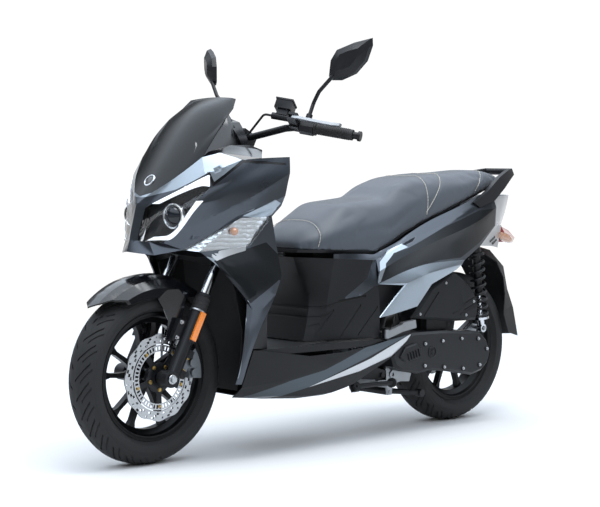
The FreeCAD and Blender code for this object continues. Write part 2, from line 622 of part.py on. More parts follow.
def engine_case():
    """Crankcase, finned cylinder, right arm, gear case, rear axle and the shocks' pins."""
    crankcase = side_plate([(300, 170), (276, 232), (300, 318), (352, 342), (430, 338), (470, 312), (478, 240),
                            (440, 176), (380, 158)], -86, ENGINE_Y)
    cylinder = side_plate([(470, 238), (470, 308), (566, 320), (566, 250)], -44, 44)
    fins = [side_plate([(x, 230 + k), (x, 318 + k), (x + 5, 318 + k), (x + 5, 230 + k)], -54, 54)
            for x, k in ((486, 0), (500, 3), (514, 6), (528, 9), (542, 12))]
    head = side_plate([(564, 246), (564, 330), (622, 326), (634, 300), (628, 262), (600, 250)], -50, 50)
    boss = rod(V(PIVOT_X, -84, PIVOT_Z), V(PIVOT_X, 84, PIVOT_Z), PIVOT_R + 11)
    lug = side_plate([(PIVOT_X - 18, PIVOT_Z - 8), (PIVOT_X - 24, PIVOT_Z + 60), (PIVOT_X + 12, PIVOT_Z + 60),
                      (PIVOT_X + 19, PIVOT_Z + 6)], -70, 70)
    gear_case = rod(REAR_AXLE + ACROSS * (REAR_HUB_HALF + GAP + 18), REAR_AXLE + ACROSS * CVT_Y[0], GEAR_R)
    boss_l = rod(REAR_AXLE + ACROSS * (REAR_HUB_HALF + GAP), REAR_AXLE + ACROSS * (REAR_HUB_HALF + 20),
                 SPACER_R)
    beam = side_plate([(0, WHEEL_R - 40), (0, WHEEL_R + 44), (330, 330), (330, 190)], REAR_TYRE_W / 2 + 8,
                      CVT_Y[0])
    arm = side_plate([(-26, WHEEL_R - 20), (-20, WHEEL_R + 30), (300, 318), (360, 318), (360, 200),
                      (300, 206)],
                     ARM_Y - 8, ARM_Y + 8)
    joint = box(300, 400, ARM_Y - 8, -80, 200, 318)
    boss_r = rod(REAR_AXLE + ACROSS * (ARM_Y - 10), REAR_AXLE - ACROSS * (REAR_HUB_HALF + GAP), SPACER_R)
    axle = rod(REAR_AXLE + ACROSS * (ARM_Y - 22), REAR_AXLE + ACROSS * (CVT_Y[0] - 2), AXLE_R)
    case = fused(crankcase, cylinder, head, boss, lug, gear_case, boss_l, beam, arm, joint, boss_r, axle,
                 *fins)
    pins = [rod(V(SHOCK_FOOT.x, y, SHOCK_FOOT.z), V(SHOCK_FOOT.x, math.copysign(SHOCK_Y + EYE_T + 4, y),
                                                    SHOCK_FOOT.z),
                SHOCK_PIN_R) for y in (CVT_Y[0] - 6, ARM_Y + 2)]
    ears = [side_plate([(SHOCK_FOOT.x - 14, SHOCK_FOOT.z + 10), (SHOCK_FOOT.x + 14, SHOCK_FOOT.z + 14),
                        (WHEEL_R * 0.16, WHEEL_R + 30), (SHOCK_FOOT.x + 6, WHEEL_R - 10)], y0, y1)
            for y0, y1 in ((CVT_Y[0] - 12, CVT_Y[0]), (ARM_Y - 8, ARM_Y + 8))]
    stand_web = box(STAND_PIVOT.x - 14, STAND_PIVOT.x + 14, -90, 90, STAND_PIVOT.z + 14, STAND_PIVOT.z + 34)
    stand_ears = [side_plate([(STAND_PIVOT.x - 14, STAND_PIVOT.z + 30),
                              (STAND_PIVOT.x + 14, STAND_PIVOT.z + 30),
                              (STAND_PIVOT.x + 9, STAND_PIVOT.z - 10),
                              (STAND_PIVOT.x - 9, STAND_PIVOT.z - 10)],
                             side * (STAND_HALF + GAP), side * 90) for side in (-1, 1)]
    stand_pin = rod(STAND_PIVOT - ACROSS * 92, STAND_PIVOT + ACROSS * 92, STAND_PIN_R)
    case = fused(case, stand_web, stand_pin, *stand_ears, *pins, *ears)
    return case.cut(rod(V(PIVOT_X, -90, PIVOT_Z), V(PIVOT_X, 90, PIVOT_Z), PIVOT_R + RUN_FIT))


def engine():
    """The engine case with the rear brake's caliper on its right arm."""
    return group(engine_case(), rear_caliper())


def rear_caliper():
    low, high = REAR_DISC_Y - 20.0, REAR_DISC_Y + 12.0
    outline = []
    steps = 4
    for radius, order in ((REAR_DISC_R + 10, 1), (REAR_DISC_R - DISC_BAND - 2, -1)):
        angles = [36 + 34 * i / steps for i in range(steps + 1)][::order]
        outline += [(math.cos(math.radians(a)) * radius, WHEEL_R + math.sin(math.radians(a)) * radius) for a in angles]
    body = side_plate(outline, low, high)
    slot = tube(V(0, REAR_DISC_Y - DISC_T / 2 - GAP, WHEEL_R), V(0, REAR_DISC_Y + DISC_T / 2 + GAP, WHEEL_R),
                REAR_DISC_R + 2, REAR_DISC_R - DISC_BAND - 14)
    return body.cut(slot)


CVT_OUTLINE = [(462, 268), (446, 232), (408, 214), (330, 200), (262, 206), (168, 196), (49, 174), (-8, 186),
               (-40, 212), (-54, 250), (-34, 292), (8, 324), (198, 338), (360, 340), (412, 318), (446, 300)]


def cvt_cover():
    """The belt case on the left, with its intake bulge at the front."""
    cover = bevelled_plate(CVT_OUTLINE, CVT_Y[0], CVT_Y[1], 9)
    bulge = bevelled_plate([(430, 262), (402, 246), (332, 252), (322, 290), (352, 306), (404, 296)],
                           CVT_Y[1] - 2, CVT_Y[1] + 10, 5)
    return fused(cover, bulge)


def air_filter_box():
    """The air filter's housing above the belt case, with two grooves in its side."""
    outline = [(362, 388), (322, 426), (258, 492), (160, 534), (128, 530), (84, 506), (40, 470), (18, 440),
               (10, 405),
               (20, 364), (139, 366)]
    solid = bevelled_plate(outline, AIR_BOX_Y[0], AIR_BOX_Y[1], 10)
    for drop in (0, 22):
        groove = prism([V(92, AIR_BOX_Y[1] - 3, 428 - drop), V(92, AIR_BOX_Y[1] - 3, 422 - drop),
                        V(8, AIR_BOX_Y[1] - 3, 452 - drop), V(8, AIR_BOX_Y[1] - 3, 458 - drop)], ACROSS * 6)
        solid = solid.cut(groove)
    neck = side_plate([(150, 339), (150, 368), (250, 380), (250, 339)], AIR_BOX_Y[0], 120)
    return fused(solid, neck)


MUFFLER_Y = -198.0
MUFFLER_R = 45.0
MUFFLER_WALL = 3.0


def exhaust():
    """Header from the cylinder head, under the engine, to a muffler on the right."""
    points = [V(604, -10, 254), V(604, -16, 200), V(560, -60, 154), V(430, -112, 150), V(300, -156, 186),
              V(232, MUFFLER_Y, 282)]
    header = pipe(points, 14.0, 60)
    start, end = V(250, MUFFLER_Y, 292), V(-190, MUFFLER_Y - 6, 392)
    shoulder = start + (end - start) * 0.14
    cone = Part.makeLoft([Part.Wire(Part.Circle(start, end - start, MUFFLER_R * 0.6).toShape()),
                          Part.Wire(Part.Circle(shoulder, end - start, MUFFLER_R).toShape())], True, True)
    out = (end - start).normalize()
    barrel = rod(shoulder, end, MUFFLER_R)
    chamber = rod(shoulder + out * 3, end - out * 3, MUFFLER_R - MUFFLER_WALL)
    cap = rod(end, end + out * 16, MUFFLER_R - 8)
    outlet = rod(end, end + out * 34, 14)
    bracket = box(70, 200, MUFFLER_Y + MUFFLER_R * 0.7, ARM_Y - 8, 290, 312)
    return fused(header, cone, barrel, cap, outlet, bracket).cut(chamber).cut(engine_case())


# Shocks

SHOCK_FOOT = V(-48, 0, 330)
SHOCK_TOP = V(0, 0, 640)
SHOCK_PIN_R = 6.0
SHOCK_PLAY = 1.8                        # radial play of the lower eye on its pin
SHOCK_RUN = SHOCK_TOP - SHOCK_FOOT
SHOCK_UP = SHOCK_RUN / SHOCK_RUN.Length
DAMPER_R = 14.0
DAMPER_NECK_R = 17.0
DAMPER_LOW = 118.0                      # end of the damper tube, up from the lower pin
COLLAR_LOW = 42.0
COLLAR_HIGH = SHOCK_RUN.Length - 52.0
EYE_R = 15.0
EYE_T = 9.0


def shock_place(up):
    return SHOCK_FOOT + SHOCK_UP * up + ACROSS * SHOCK_Y


def eye(up):
    place = shock_place(up)
    return rod(place - ACROSS * EYE_T, place + ACROSS * EYE_T, EYE_R)


def eye_bore(up, radius):
    place = shock_place(up)
    return rod(place - ACROSS * (EYE_T + 1), place + ACROSS * (EYE_T + 1), radius)


def shock_bodies():
    """Damper tubes with their upper eyes and spring collars."""
    length = SHOCK_RUN.Length
    damper = rod(shock_place(DAMPER_LOW), shock_place(length - 8), DAMPER_R)
    collar = rod(shock_place(COLLAR_HIGH), shock_place(COLLAR_HIGH + 8), SHOCK_SPRING_R + SHOCK_WIRE_R)
    neck = rod(shock_place(COLLAR_HIGH + 8), shock_place(length - 10), DAMPER_NECK_R)
    body = fused(damper, collar, neck, eye(length))
    body = body.cut(eye_bore(length, SHOCK_PIN_R + RUN_FIT))
    return pair(body.cut(rod(shock_place(DAMPER_LOW - 1), shock_place(length - 60), SHOCK_ROD_R + RUN_FIT)))


def shock_rods():
    """Piston rods with their lower eyes and spring collars."""
    length = SHOCK_RUN.Length
    rod_top = DAMPER_LOW + 70
    shaft = rod(shock_place(8), shock_place(rod_top), SHOCK_ROD_R)
    collar = rod(shock_place(COLLAR_LOW - 8), shock_place(COLLAR_LOW), SHOCK_SPRING_R + SHOCK_WIRE_R)
    neck = rod(shock_place(10), shock_place(COLLAR_LOW - 8), 11)
    body = fused(shaft, collar, neck, eye(0))
    return pair(body.cut(eye_bore(0, SHOCK_PIN_R + SHOCK_PLAY)))


SPRING_TURNS = 8


def shock_springs():
    """Coil springs between the collars."""
    span = COLLAR_HIGH - COLLAR_LOW - 2 * SHOCK_WIRE_R - 0.2
    helix = Part.makeHelix(span / SPRING_TURNS, span, SHOCK_SPRING_R)
    start = V(SHOCK_SPRING_R, 0, 0)
    section = Part.Wire(Part.Circle(start, V(0, 1, 0), SHOCK_WIRE_R).toShape())
    coil = Part.Wire(helix.Edges).makePipeShell([section], True, True)
    coil.Placement = FreeCAD.Placement(shock_place(COLLAR_LOW + SHOCK_WIRE_R + 0.1),
                                       FreeCAD.Rotation(V(0, 0, 1), SHOCK_UP))
    return pair(coil)


# Frame

RAIL_Y = 118.0
REAR_RAIL_Y = 76.0
UNDER_FLOOR_Z = 212.0                   # the main tubes' level under the floor


def frame_rail(radius):
    """The left main tube: down behind the wheel, under the floor, up and back to the tail."""
    return pipe([steer(-HEAD_R + 6, 14, CLAMP_LOW + CLAMP_T + 90), at_front(-346, 60, 556),
                 at_front(-344, 96, 430),
                 at_front(-350, RAIL_Y, 232), at_front(-470, RAIL_Y, UNDER_FLOOR_Z),
                 V(PIVOT_X + 105, RAIL_Y, UNDER_FLOOR_Z), V(PIVOT_X + 45, RAIL_Y, UNDER_FLOOR_Z + 88),
                 V(420, RAIL_Y, 560), V(160, 92, 655), V(-140, REAR_RAIL_Y, 689)], radius, 60)


def main_frame():
    """Head tube, twin tubes and cross tubes, with the brackets for all that hangs on them."""
    head_low = CLAMP_LOW + CLAMP_T + GAP
    head = tube(steer(0, 0, head_low), steer(0, 0, head_low + HEAD_LENGTH), HEAD_R, STEM_R + RUN_FIT)
    cross_ends = [at_front(-430, RAIL_Y, UNDER_FLOOR_Z + 2), V(PIVOT_X + 205, RAIL_Y, UNDER_FLOOR_Z),
                  V(460, RAIL_Y, 431), V(-120, REAR_RAIL_Y, 686)]
    crosses = [rod(V(p.x, -p.y, p.z), p, FRAME_TUBE_R - 3) for p in cross_ends]
    shock_ear = box(SHOCK_TOP.x - 16, SHOCK_TOP.x + 16, REAR_RAIL_Y + 6, SHOCK_Y - DAMPER_NECK_R - 1,
                    SHOCK_TOP.z - 12, SHOCK_TOP.z + 34)
    shock_pin = rod(SHOCK_TOP + ACROSS * (SHOCK_Y - DAMPER_NECK_R - 4),
                    SHOCK_TOP + ACROSS * (SHOCK_Y + EYE_T + 4),
                    SHOCK_PIN_R)
    pivot_ear = side_plate([(PIVOT_X + x, PIVOT_Z + z) for x, z in
                            ((-22, -18), (-22, 14), (15, 24), (70, 62), (110, -2), (90, -6))], 96, 106)
    stand_face = SIDE_PIVOT + SIDE_AXIS * (SIDE_HUB / 2 + GAP)
    stand_plate = prism([stand_face + V(x, 0, 0) + SIDE_RISE * rise for x, rise in
                         ((-17, -15), (17, -15), (20, 46), (-20, 46))], SIDE_AXIS * 8)
    stand_pin = rod(SIDE_PIVOT - SIDE_AXIS * (SIDE_HUB / 2 + 4), stand_face + SIDE_AXIS * 6, SIDE_PIN_R)
    peg_arm = rod(V(483, RAIL_Y, 352), PEG_PIVOT + V(-8, -14, 0), 8)
    peg_web = box(PEG_PIVOT.x - 12, PEG_PIVOT.x + 2, PEG_PIVOT.y - 18, PEG_PIVOT.y - PEG_EYE_R - 1.5,
                  PEG_PIVOT.z - 18, PEG_PIVOT.z + 20)
    peg_lugs = [box(PEG_PIVOT.x - 12, PEG_PIVOT.x + 10, PEG_PIVOT.y - 16, PEG_PIVOT.y + 9, z, z + 4)
                for z in (PEG_PIVOT.z - 18, PEG_PIVOT.z + 16)]
    peg_pin = rod(PEG_PIVOT - V(0, 0, 17), PEG_PIVOT + V(0, 0, 19), PEG_PIN_R)
    lamp_bracket = box(-177.6, -134, 62, 80, 650, 690)
    guard_bracket = box(-132, -108, -24, 24, 618.2, 686)
    lamp = PROJECTOR_PLACE
    lamp_arm = rod(steer(HEAD_R, 0, 555), V(lamp.x - 68, 0, lamp.z - 1), 12)
    lamp_plate = box(lamp.x - 72, lamp.x - 59.5, -120, 120, lamp.z - 30, lamp.z + 14)
    half = fused(frame_rail(FRAME_TUBE_R), shock_ear, shock_pin, pivot_ear, peg_arm, peg_web, peg_pin,
                 lamp_bracket, *peg_lugs)
    bolt = rod(V(PIVOT_X, -112, PIVOT_Z), V(PIVOT_X, 112, PIVOT_Z), PIVOT_R)
    return fused(head, half, mirrored(half), bolt, stand_plate, stand_pin, guard_bracket, lamp_arm,
                 lamp_plate, *crosses)


# Front bodywork. Shared outlines are named, so that neighbours meet edge to edge.

NOSE = [at_front(42, 0, 770), at_front(48, 0, 746), at_front(54, 0, 722), at_front(61, 0, 693),
        at_front(67, 0, 664)]
NOSE_EDGE = [at_front(34, 28, 758), at_front(39, 26, 735), at_front(44, 24, 710), at_front(50, 22, 685),
             at_front(55, 20, 662)]
LAMP_SIDE = [at_front(-78, 165, 857), at_front(-92, 172, 819), at_front(-43, 150, 766), at_front(1, 105, 684),
             at_front(14, 90, 658)]
LAMP_MIDDLE = [at_front(-8, 98, 802), at_front(-4, 100, 775), at_front(8, 92, 738), at_front(28, 70, 695),
               at_front(38, 55, 660)]
COWL_TOP = [LAMP_SIDE[0], at_front(-203, 190, 903), at_front(-261, 210, 909), at_front(-358, 225, 914)]
COWL_REAR = [COWL_TOP[3], at_front(-350, 231, 865), at_front(-338, 232, 815), at_front(-325, 229, 768),
             at_front(-291, 225, 736)]
SIGNAL_TOP = [at_front(-45, 110, 637), at_front(-115, 155, 685), at_front(-186, 200, 732),
              at_front(-253, 222, 735),
              COWL_REAR[4]]
SHIELD_TOP = [at_front(-80, 145, 632), at_front(-154, 185, 640), at_front(-218, 210, 649), COWL_REAR[4]]
SIGNAL_LOW = [SIGNAL_TOP[0]] + SHIELD_TOP
SCREEN_FOOT = [at_front(29, 0, 792), at_front(18, 40, 802), at_front(-25, 95, 845), at_front(-90, 138, 908),
               at_front(-148, 150, 922)]
VISOR_LOW = [NOSE[0], NOSE_EDGE[0], LAMP_MIDDLE[0], LAMP_SIDE[0], COWL_TOP[1]]
PROJECTOR_PLACE = at_front(-32, 96, 736)
PROJECTOR_R = 30.0


def across_centre(half_rows):
    """Rows given from the centre plane to the left, continued to the right."""
    rows = []
    for row in half_rows:
        right = [V(p.x, -p.y, p.z) for p in row if p.y > 0]
        rows.append(right[::-1] + row)
    return rows


def front_cowl():
    """Nose and brow in one shell across the centre, and a side cowl on each side."""
    brow = panel(across_centre([SCREEN_FOOT, VISOR_LOW]), FRONT_CORE)
    nose = panel(across_centre([[middle, edge] for middle, edge in zip(NOSE, NOSE_EDGE)]), FRONT_CORE)
    chin_low = [at_front(76, 0, 630), at_front(68, 30, 627), at_front(35, 75, 622), SIGNAL_TOP[0],
                SIGNAL_TOP[0]]
    chin_top = [NOSE[-1], NOSE_EDGE[-1], LAMP_MIDDLE[-1], LAMP_SIDE[-1], SIGNAL_TOP[1]]
    chin = panel(across_centre([chin_top, chin_low]), FRONT_CORE)
    side_rows = [COWL_TOP,
                 [LAMP_SIDE[1], at_front(-180, 200, 850), at_front(-252, 219, 862), COWL_REAR[1]],
                 [LAMP_SIDE[2], at_front(-145, 192, 795), at_front(-232, 217, 808), COWL_REAR[2]],
                 [LAMP_SIDE[3], at_front(-120, 172, 735), at_front(-210, 208, 764), COWL_REAR[3]],
                 [LAMP_SIDE[4], SIGNAL_TOP[1], SIGNAL_TOP[2], SIGNAL_TOP[3]]]
    side = panel(side_rows, FRONT_CORE)
    tail = panel([[COWL_REAR[3], COWL_REAR[4]], [SIGNAL_TOP[3], SIGNAL_TOP[3]]], FRONT_CORE)
    return group(brow, nose, chin, side, mirrored(side), tail, mirrored(tail))


def headlight_lenses():
    """A clear cover each side of the nose, folded along its middle."""
    lens = panel([[NOSE_EDGE[i], LAMP_MIDDLE[i], LAMP_SIDE[i]] for i in range(5)], FRONT_CORE)
    return pair(lens.cut(front_cowl()))


def headlight_units():
    """A projector and its bowl behind each lens, on a carrier plate."""
    aim = V(1, 0.18, 0).normalize()
    barrel = rod(PROJECTOR_PLACE - aim * 52, PROJECTOR_PLACE, PROJECTOR_R)
    bowl = rod(PROJECTOR_PLACE - aim * 30, PROJECTOR_PLACE - aim * 16, PROJECTOR_R + 12)
    ball = Part.makeSphere(PROJECTOR_R + 6, PROJECTOR_PLACE - aim * 20).common(
        rod(PROJECTOR_PLACE - aim * 20, PROJECTOR_PLACE + aim * 40, PROJECTOR_R - 3))
    plate = prism([PROJECTOR_PLACE - aim * 60 + V(0, y, z) for y, z in
                   ((-70, -44), (30, -44), (44, 60), (-70, 40))], aim * 6)
    return pair(fused(barrel, bowl, ball, plate))


def indicator_lenses():
    """Wedge lenses between the side cowls and the shields."""
    lens = panel([SIGNAL_TOP, SIGNAL_LOW], FRONT_CORE, LENS_T)
    return pair(lens.cut(front_cowl()).cut(leg_shields()))


SCREEN_ROWS = [
    [at_front(29, 0, 792), at_front(18, 40, 802), at_front(-25, 95, 845), at_front(-90, 138, 908)],
    [at_front(-25, 0, 865), at_front(-38, 55, 872), at_front(-74, 108, 902), at_front(-108, 138, 932)],
    [at_front(-80, 0, 934), at_front(-93, 62, 941), at_front(-120, 116, 957), at_front(-139, 140, 976)],
    [at_front(-140, 0, 1008), at_front(-151, 62, 1010), at_front(-170, 108, 1018), at_front(-188, 130, 1026)],
    [at_front(-198, 0, 1064), at_front(-204, 50, 1064), at_front(-218, 90, 1060), at_front(-228, 118, 1058)],
    [at_front(-258, 0, 1093), at_front(-258, 40, 1092), at_front(-256, 80, 1089), at_front(-250, 104, 1085)],
]


def windshield():
    return panel(across_centre(SCREEN_ROWS), FRONT_CORE, SCREEN_T)


def screen_cowl():
    """Dark surround behind the screen: shoulders from the brow to the dash, and the dash hood."""
    shoulder = panel([[SCREEN_FOOT[3], SCREEN_FOOT[4], COWL_TOP[1]],
                      [at_front(-130, 120, 925), at_front(-200, 134, 945), COWL_TOP[2]],
                      [at_front(-180, 100, 940), at_front(-276, 138, 948), at_front(-318, 150, 934)]],
                      FRONT_CORE)
    front = [at_front(-198, 0, 1034), at_front(-204, 60, 1030), at_front(-220, 104, 1014),
             at_front(-242, 128, 972),
             at_front(-250, 134, 944)]
    back = [at_front(-250, 0, 1036), at_front(-254, 60, 1032), at_front(-266, 104, 1016),
            at_front(-276, 128, 974),
            at_front(-278, 134, 946)]
    hood = panel(across_centre([front, back]), FRONT_CORE).cut(shoulder).cut(mirrored(shoulder))
    return group(shoulder, mirrored(shoulder), hood)


def instrument_cluster():
    """The dash: a raked housing with its display, under the hood."""
    place = at_front(-296, 0, 946)
    tilt = V(0.55, 0, 0.835)
    points = [place + V(0, y, 0) + tilt * up for y, up in ((-96, 0), (96, 0), (84, 62), (-84, 62))]
    pedestal = box(place.x - 1, place.x + 20, -40, 40, DECK.z + GAP, place.z)
    return fused(prism(points, V(30, 0, -20)), pedestal)


SHIELD_REAR = [at_front(-313, 245, 561), at_front(-294, 240, 505), at_front(-269, 233, 445),
               at_front(-248, 216, 385),
               at_front(-224, 198, 300), at_front(-216, 184, 236)]


def leg_shields():
    """The shields' outer skins, from the indicators down to the floor."""
    rows = [SHIELD_TOP,
            [at_front(-122, 150, 605), at_front(-170, 180, 600), at_front(-240, 212, 600), SHIELD_REAR[0]],
            [at_front(-161, 165, 563), at_front(-190, 190, 540), at_front(-238, 218, 520), SHIELD_REAR[1]],
            [at_front(-219, 182, 479), at_front(-230, 200, 460), at_front(-250, 215, 450), SHIELD_REAR[2]],
            [at_front(-221, 185, 399), at_front(-227, 197, 390), at_front(-237, 208, 385), SHIELD_REAR[3]],
            [at_front(-211, 185, 310), at_front(-213, 190, 305), at_front(-218, 194, 300), SHIELD_REAR[4]],
            [at_front(-202, 172, 236), at_front(-204, 175, 236), at_front(-209, 180, 236), SHIELD_REAR[5]]]
    return pair(panel(rows, FRONT_CORE))


# Rider's side of the shield, wheel liner and floor

FLOOR_Z = 334.0
FLOOR_T = 20.0
COLUMN_HOLE_R = 40.0
DECK_T = 3.5


def inner_shield():
    """The shield's rider side: a knee panel behind the steering column, and its top deck."""
    foot = FLOOR_Z + 0.3
    rows = [
        [at_front(-430, 0, 903), at_front(-426, 60, 903), at_front(-396, 120, 904), at_front(-374, 180, 908),
         at_front(-360, 222, 910)],
        [at_front(-416, 0, 820), at_front(-408, 60, 822), at_front(-384, 120, 825), at_front(-362, 180, 826),
         at_front(-340, 228, 815)],
        [at_front(-395, 0, 740), at_front(-388, 60, 740), at_front(-370, 120, 740), at_front(-330, 180, 740),
         at_front(-292, 222, 734)],
        [at_front(-382, 0, 640), at_front(-376, 60, 640), at_front(-360, 120, 640), at_front(-322, 180, 636),
         at_front(-281, 212, 632)],
        [at_front(-376, 0, 560), at_front(-372, 60, 560), at_front(-360, 120, 558), at_front(-328, 190, 556),
         at_front(-317, 242, 560)],
        [at_front(-366, 0, 450), at_front(-365, 60, 450), at_front(-360, 120, 448), at_front(-300, 190, 446),
         at_front(-273, 230, 445)],
        [at_front(-364, 0, foot), at_front(-364, 60, foot), at_front(-364, 120, foot),
         at_front(-330, 170, foot),
         at_front(-236, 204, foot + 8)]]
    shell = panel(across_centre(rows), FRONT_CORE)
    deck = [at_front(x, y, DRAWN_DECK.z) for x, y in
            ((-427, 0), (-423, 60), (-393, 120), (-372, 178), (-330, 190), (-286, 150), (-272, 60))]
    deck = deck + [V(p.x, -p.y, 0) for p in deck[:0:-1]]
    deck = prism([V(p.x, p.y, DECK.z - DECK_T) for p in deck], V(0, 0, DECK_T))
    hole = rod(steer(0, 0, BAR_CLAMP - 110), steer(0, 0, BAR_CLAMP), COLUMN_HOLE_R)
    key_hole = rod(KEY_PLACE - V(30, 0, 0), KEY_PLACE + V(30, 0, 0), KEY_R + GAP)
    return fused(shell, deck).cut(hole).cut(key_hole)


def wheel_liner():
    """The wall behind the front wheel, with its side returns to the shields."""
    wall = [at_front(-288, 0, 640), at_front(-301, 0, 540), at_front(-313, 0, 400), at_front(-315, 0, 280),
            at_front(-309, 0, 196)]
    knee = [at_front(-288, 104, 640), at_front(-301, 102, 540), at_front(-313, 94, 400),
            at_front(-315, 94, 280),
            at_front(-309, 92, 196)]
    corner = [at_front(-263, 152, 612), at_front(-277, 154, 520), at_front(-295, 150, 396),
              at_front(-295, 148, 280),
              at_front(-289, 136, 196)]
    edge = [at_front(-170, 161, 585), at_front(-202, 167, 510), at_front(-230, 169, 392),
            at_front(-224, 166, 284),
            at_front(-224, 155, 214)]
    rows = [list(row) for row in zip(wall, knee, corner, edge)]
    return panel(across_centre(rows), WHEEL_CORE)


def floorboard():
    """The flat floor tray with its lowered side steps, running back beside the seat tunnel."""
    outline = [at_front(-314.8, 94, FLOOR_Z), at_front(-298, 150, FLOOR_Z), at_front(-254, 178, FLOOR_Z),
               at_front(-262, 184, FLOOR_Z), at_front(-370, 184, FLOOR_Z), V(871, 186, FLOOR_Z),
               V(738, 186, FLOOR_Z),
               V(596, 180, FLOOR_Z), V(520, 171, FLOOR_Z), V(520, 140, FLOOR_Z), V(690, 140, FLOOR_Z),
               V(760, 60, FLOOR_Z)]
    tray = prism(outline + [V(p.x, -p.y, p.z) for p in outline[::-1]], V(0, 0, -FLOOR_T))
    rail_hole = frame_rail(FRAME_TUBE_R + GAP)
    return tray.cut(rail_hole).cut(mirrored(rail_hole))


SKIRT_TOP = [at_front(-258, 189, 336), at_front(-349, 188, 324), V(871, 188, 301), V(738, 188, 303),
             V(594, 184, 314),
             V(500, 176, 326), V(400, 173, 339)]
SKIRT_BAND = [at_front(-224, 176, 224), at_front(-370, 184, 232), V(871, 187, 256), V(738, 187, 275),
              V(600, 183, 298),
              V(505, 176, 306), V(392, 173, 338)]
SKIRT_FLARE = [at_front(-220, 160, 206), at_front(-370, 170, 210), V(860, 172, 203), V(738, 172, 219),
               V(632, 174, 237),
               V(480, 172, 276), V(384, 172.5, 336)]
SKIRT_LOW = [at_front(-226, 132, 190), at_front(-370, 150, 184), V(855, 152, 172), V(735, 150, 172),
             V(633, 146, 190),
             V(480, 162, 262), V(384, 172.5, 332)]
BELLY_LOW = [at_front(-300, 0, 182), at_front(-370, 0, 166), V(855, 0, 154), V(735, 0, 154), V(660, 0, 168)]
SKIRT_CORE = (V(400, 0, 300), at_front(-260, 0, 300))


def side_skirts():
    """Skirts under the floor's edges, and the belly tray between them."""
    skirt = panel([SKIRT_TOP, SKIRT_BAND, SKIRT_FLARE, SKIRT_LOW], SKIRT_CORE)
    belly_edge = [V(p.x, p.y, p.z) for p in SKIRT_LOW[:4]] + [V(660, 147, 184)]
    half = [[low, V(low.x, edge.y * 0.7, (low.z + edge.z) / 2 - 4), edge] for low, edge in zip(BELLY_LOW,
                                                                                               belly_edge)]
    belly = panel(across_centre(half), SKIRT_CORE)
    return group(skirt, mirrored(skirt), belly)


# Tunnel, side panels and tail

TUNNEL_SIDE = [V(557, 165, 589), V(572, 190, 513), V(566, 192, 460), V(560, 190, 404), V(546, 176, 338)]


def tunnel_cover():
    """The cover below the seat's front, wrapped back to the side panels."""
    rows = [
        [V(829, 0, 600), V(829, 60, 600), V(812, 84, 600), V(735, 148, 598), V(650, 158, 593), TUNNEL_SIDE[0]],
        [V(800, 0, 545), V(800, 60, 545), V(786, 82, 545), V(735, 140, 540), V(660, 160, 520), TUNNEL_SIDE[1]],
        [V(786, 0, 480), V(786, 60, 480), V(780, 84, 480), V(745, 130, 470), V(660, 158, 450), TUNNEL_SIDE[2]],
        [V(792, 0, 430), V(792, 60, 430), V(789, 96, 430), V(750, 134, 410), V(670, 162, 400), TUNNEL_SIDE[3]],
        [V(830, 0, 338), V(830, 60, 338), V(826, 108, 338), V(770, 138, 338), V(672, 160, 338),
         TUNNEL_SIDE[4]]]
    return panel(across_centre(rows), BODY_CORE)


PANEL_TOP = [V(557, 165, 589), V(491, 167, 620), V(395, 166, 652), V(288, 160, 682), V(148, 150, 717),
             V(-10, 130, 750), V(-110, 108, 792)]
PANEL_LOW = [V(572, 190, 513), V(462, 187, 545), V(380, 182, 562), V(302, 177, 574), V(102, 160, 577),
             V(-5, 140, 622), V(-130, 104, 690)]
SEAT_LINE = [V(735, 148, 612), V(650, 152, 612), V(557, 154, 607), V(451, 154, 644), V(372, 149, 679),
             V(267, 143, 718), V(152, 134, 747), V(-11, 113, 793), V(-114, 90, 819)]


def side_panels():
    """Faceted side panels, with the narrow strips between them and the seat."""
    shoulder = [V(566, 186, 552), V(480, 190, 592), V(390, 190, 620), V(296, 184, 645), V(138, 172, 680),
                V(-8, 148, 716), V(-122, 113, 756)]
    body = panel([PANEL_TOP, shoulder, PANEL_LOW], BODY_CORE)
    strip = panel([SEAT_LINE,
                   [V(735, 148, 598), V(650, 158, 593), V(557, 165, 589), V(491, 167, 620), V(395, 166, 652),
                    V(288, 160, 682), V(148, 150, 717), V(-10, 130, 750), V(-110, 108, 792)]], BODY_CORE)
    return group(body, mirrored(body), strip, mirrored(strip))


def side_accents():
    """Two-pronged accent panels below the side panels."""
    rows = [[V(572, 190, 513), V(462, 187, 545), V(380, 182, 562), V(302, 177, 574), V(102, 160, 577)],
            [V(452, 196, 505), V(440, 199, 512), V(370, 198, 530), V(300, 190, 545), V(125, 166, 562)],
            [V(560, 190, 404), V(500, 194, 412), V(376, 188, 432), V(296, 180, 502), V(150, 164, 545)]]
    return pair(panel(rows, BODY_CORE))


def tail_cowl():
    """The pale tail section round the lamp, left, right and rear."""
    rows = [[V(-110, 108, 792), V(-200, 84, 796), V(-258, 60, 798), V(-268, 0, 800)],
            [V(-122, 113, 756), V(-190, 92, 752), V(-240, 64, 748), V(-254, 0, 750)],
            [V(-130, 104, 690), V(-172, 88, 690), V(-212, 64, 692), V(-226, 0, 694)]]
    side = [[V(-130, 104, 690), V(-172, 88, 690), V(-190, 84, 690)],
            [V(-5, 140, 622), V(-110, 112, 618), V(-150, 100, 610)]]
    lower = panel(side, BODY_CORE)
    return group(panel(across_centre([row[::-1] for row in rows]), BODY_CORE), lower, mirrored(lower))


def tail_light():
    """The rear lamp: a pointed lens on its housing, below the tail."""
    rows = [[V(-206, 0, 688), V(-206, 40, 688), V(-196, 78, 686)],
            [V(-300, 0, 668), V(-292, 36, 668), V(-214, 80, 662)],
            [V(-339, 0, 640), V(-326, 40, 640), V(-210, 80, 640)],
            [V(-330, 0, 628), V(-318, 38, 628), V(-204, 78, 628)]]
    full = across_centre(rows)
    back = [[V(-178, p.y, p.z) for p in row] for row in full]
    return between(full, back)


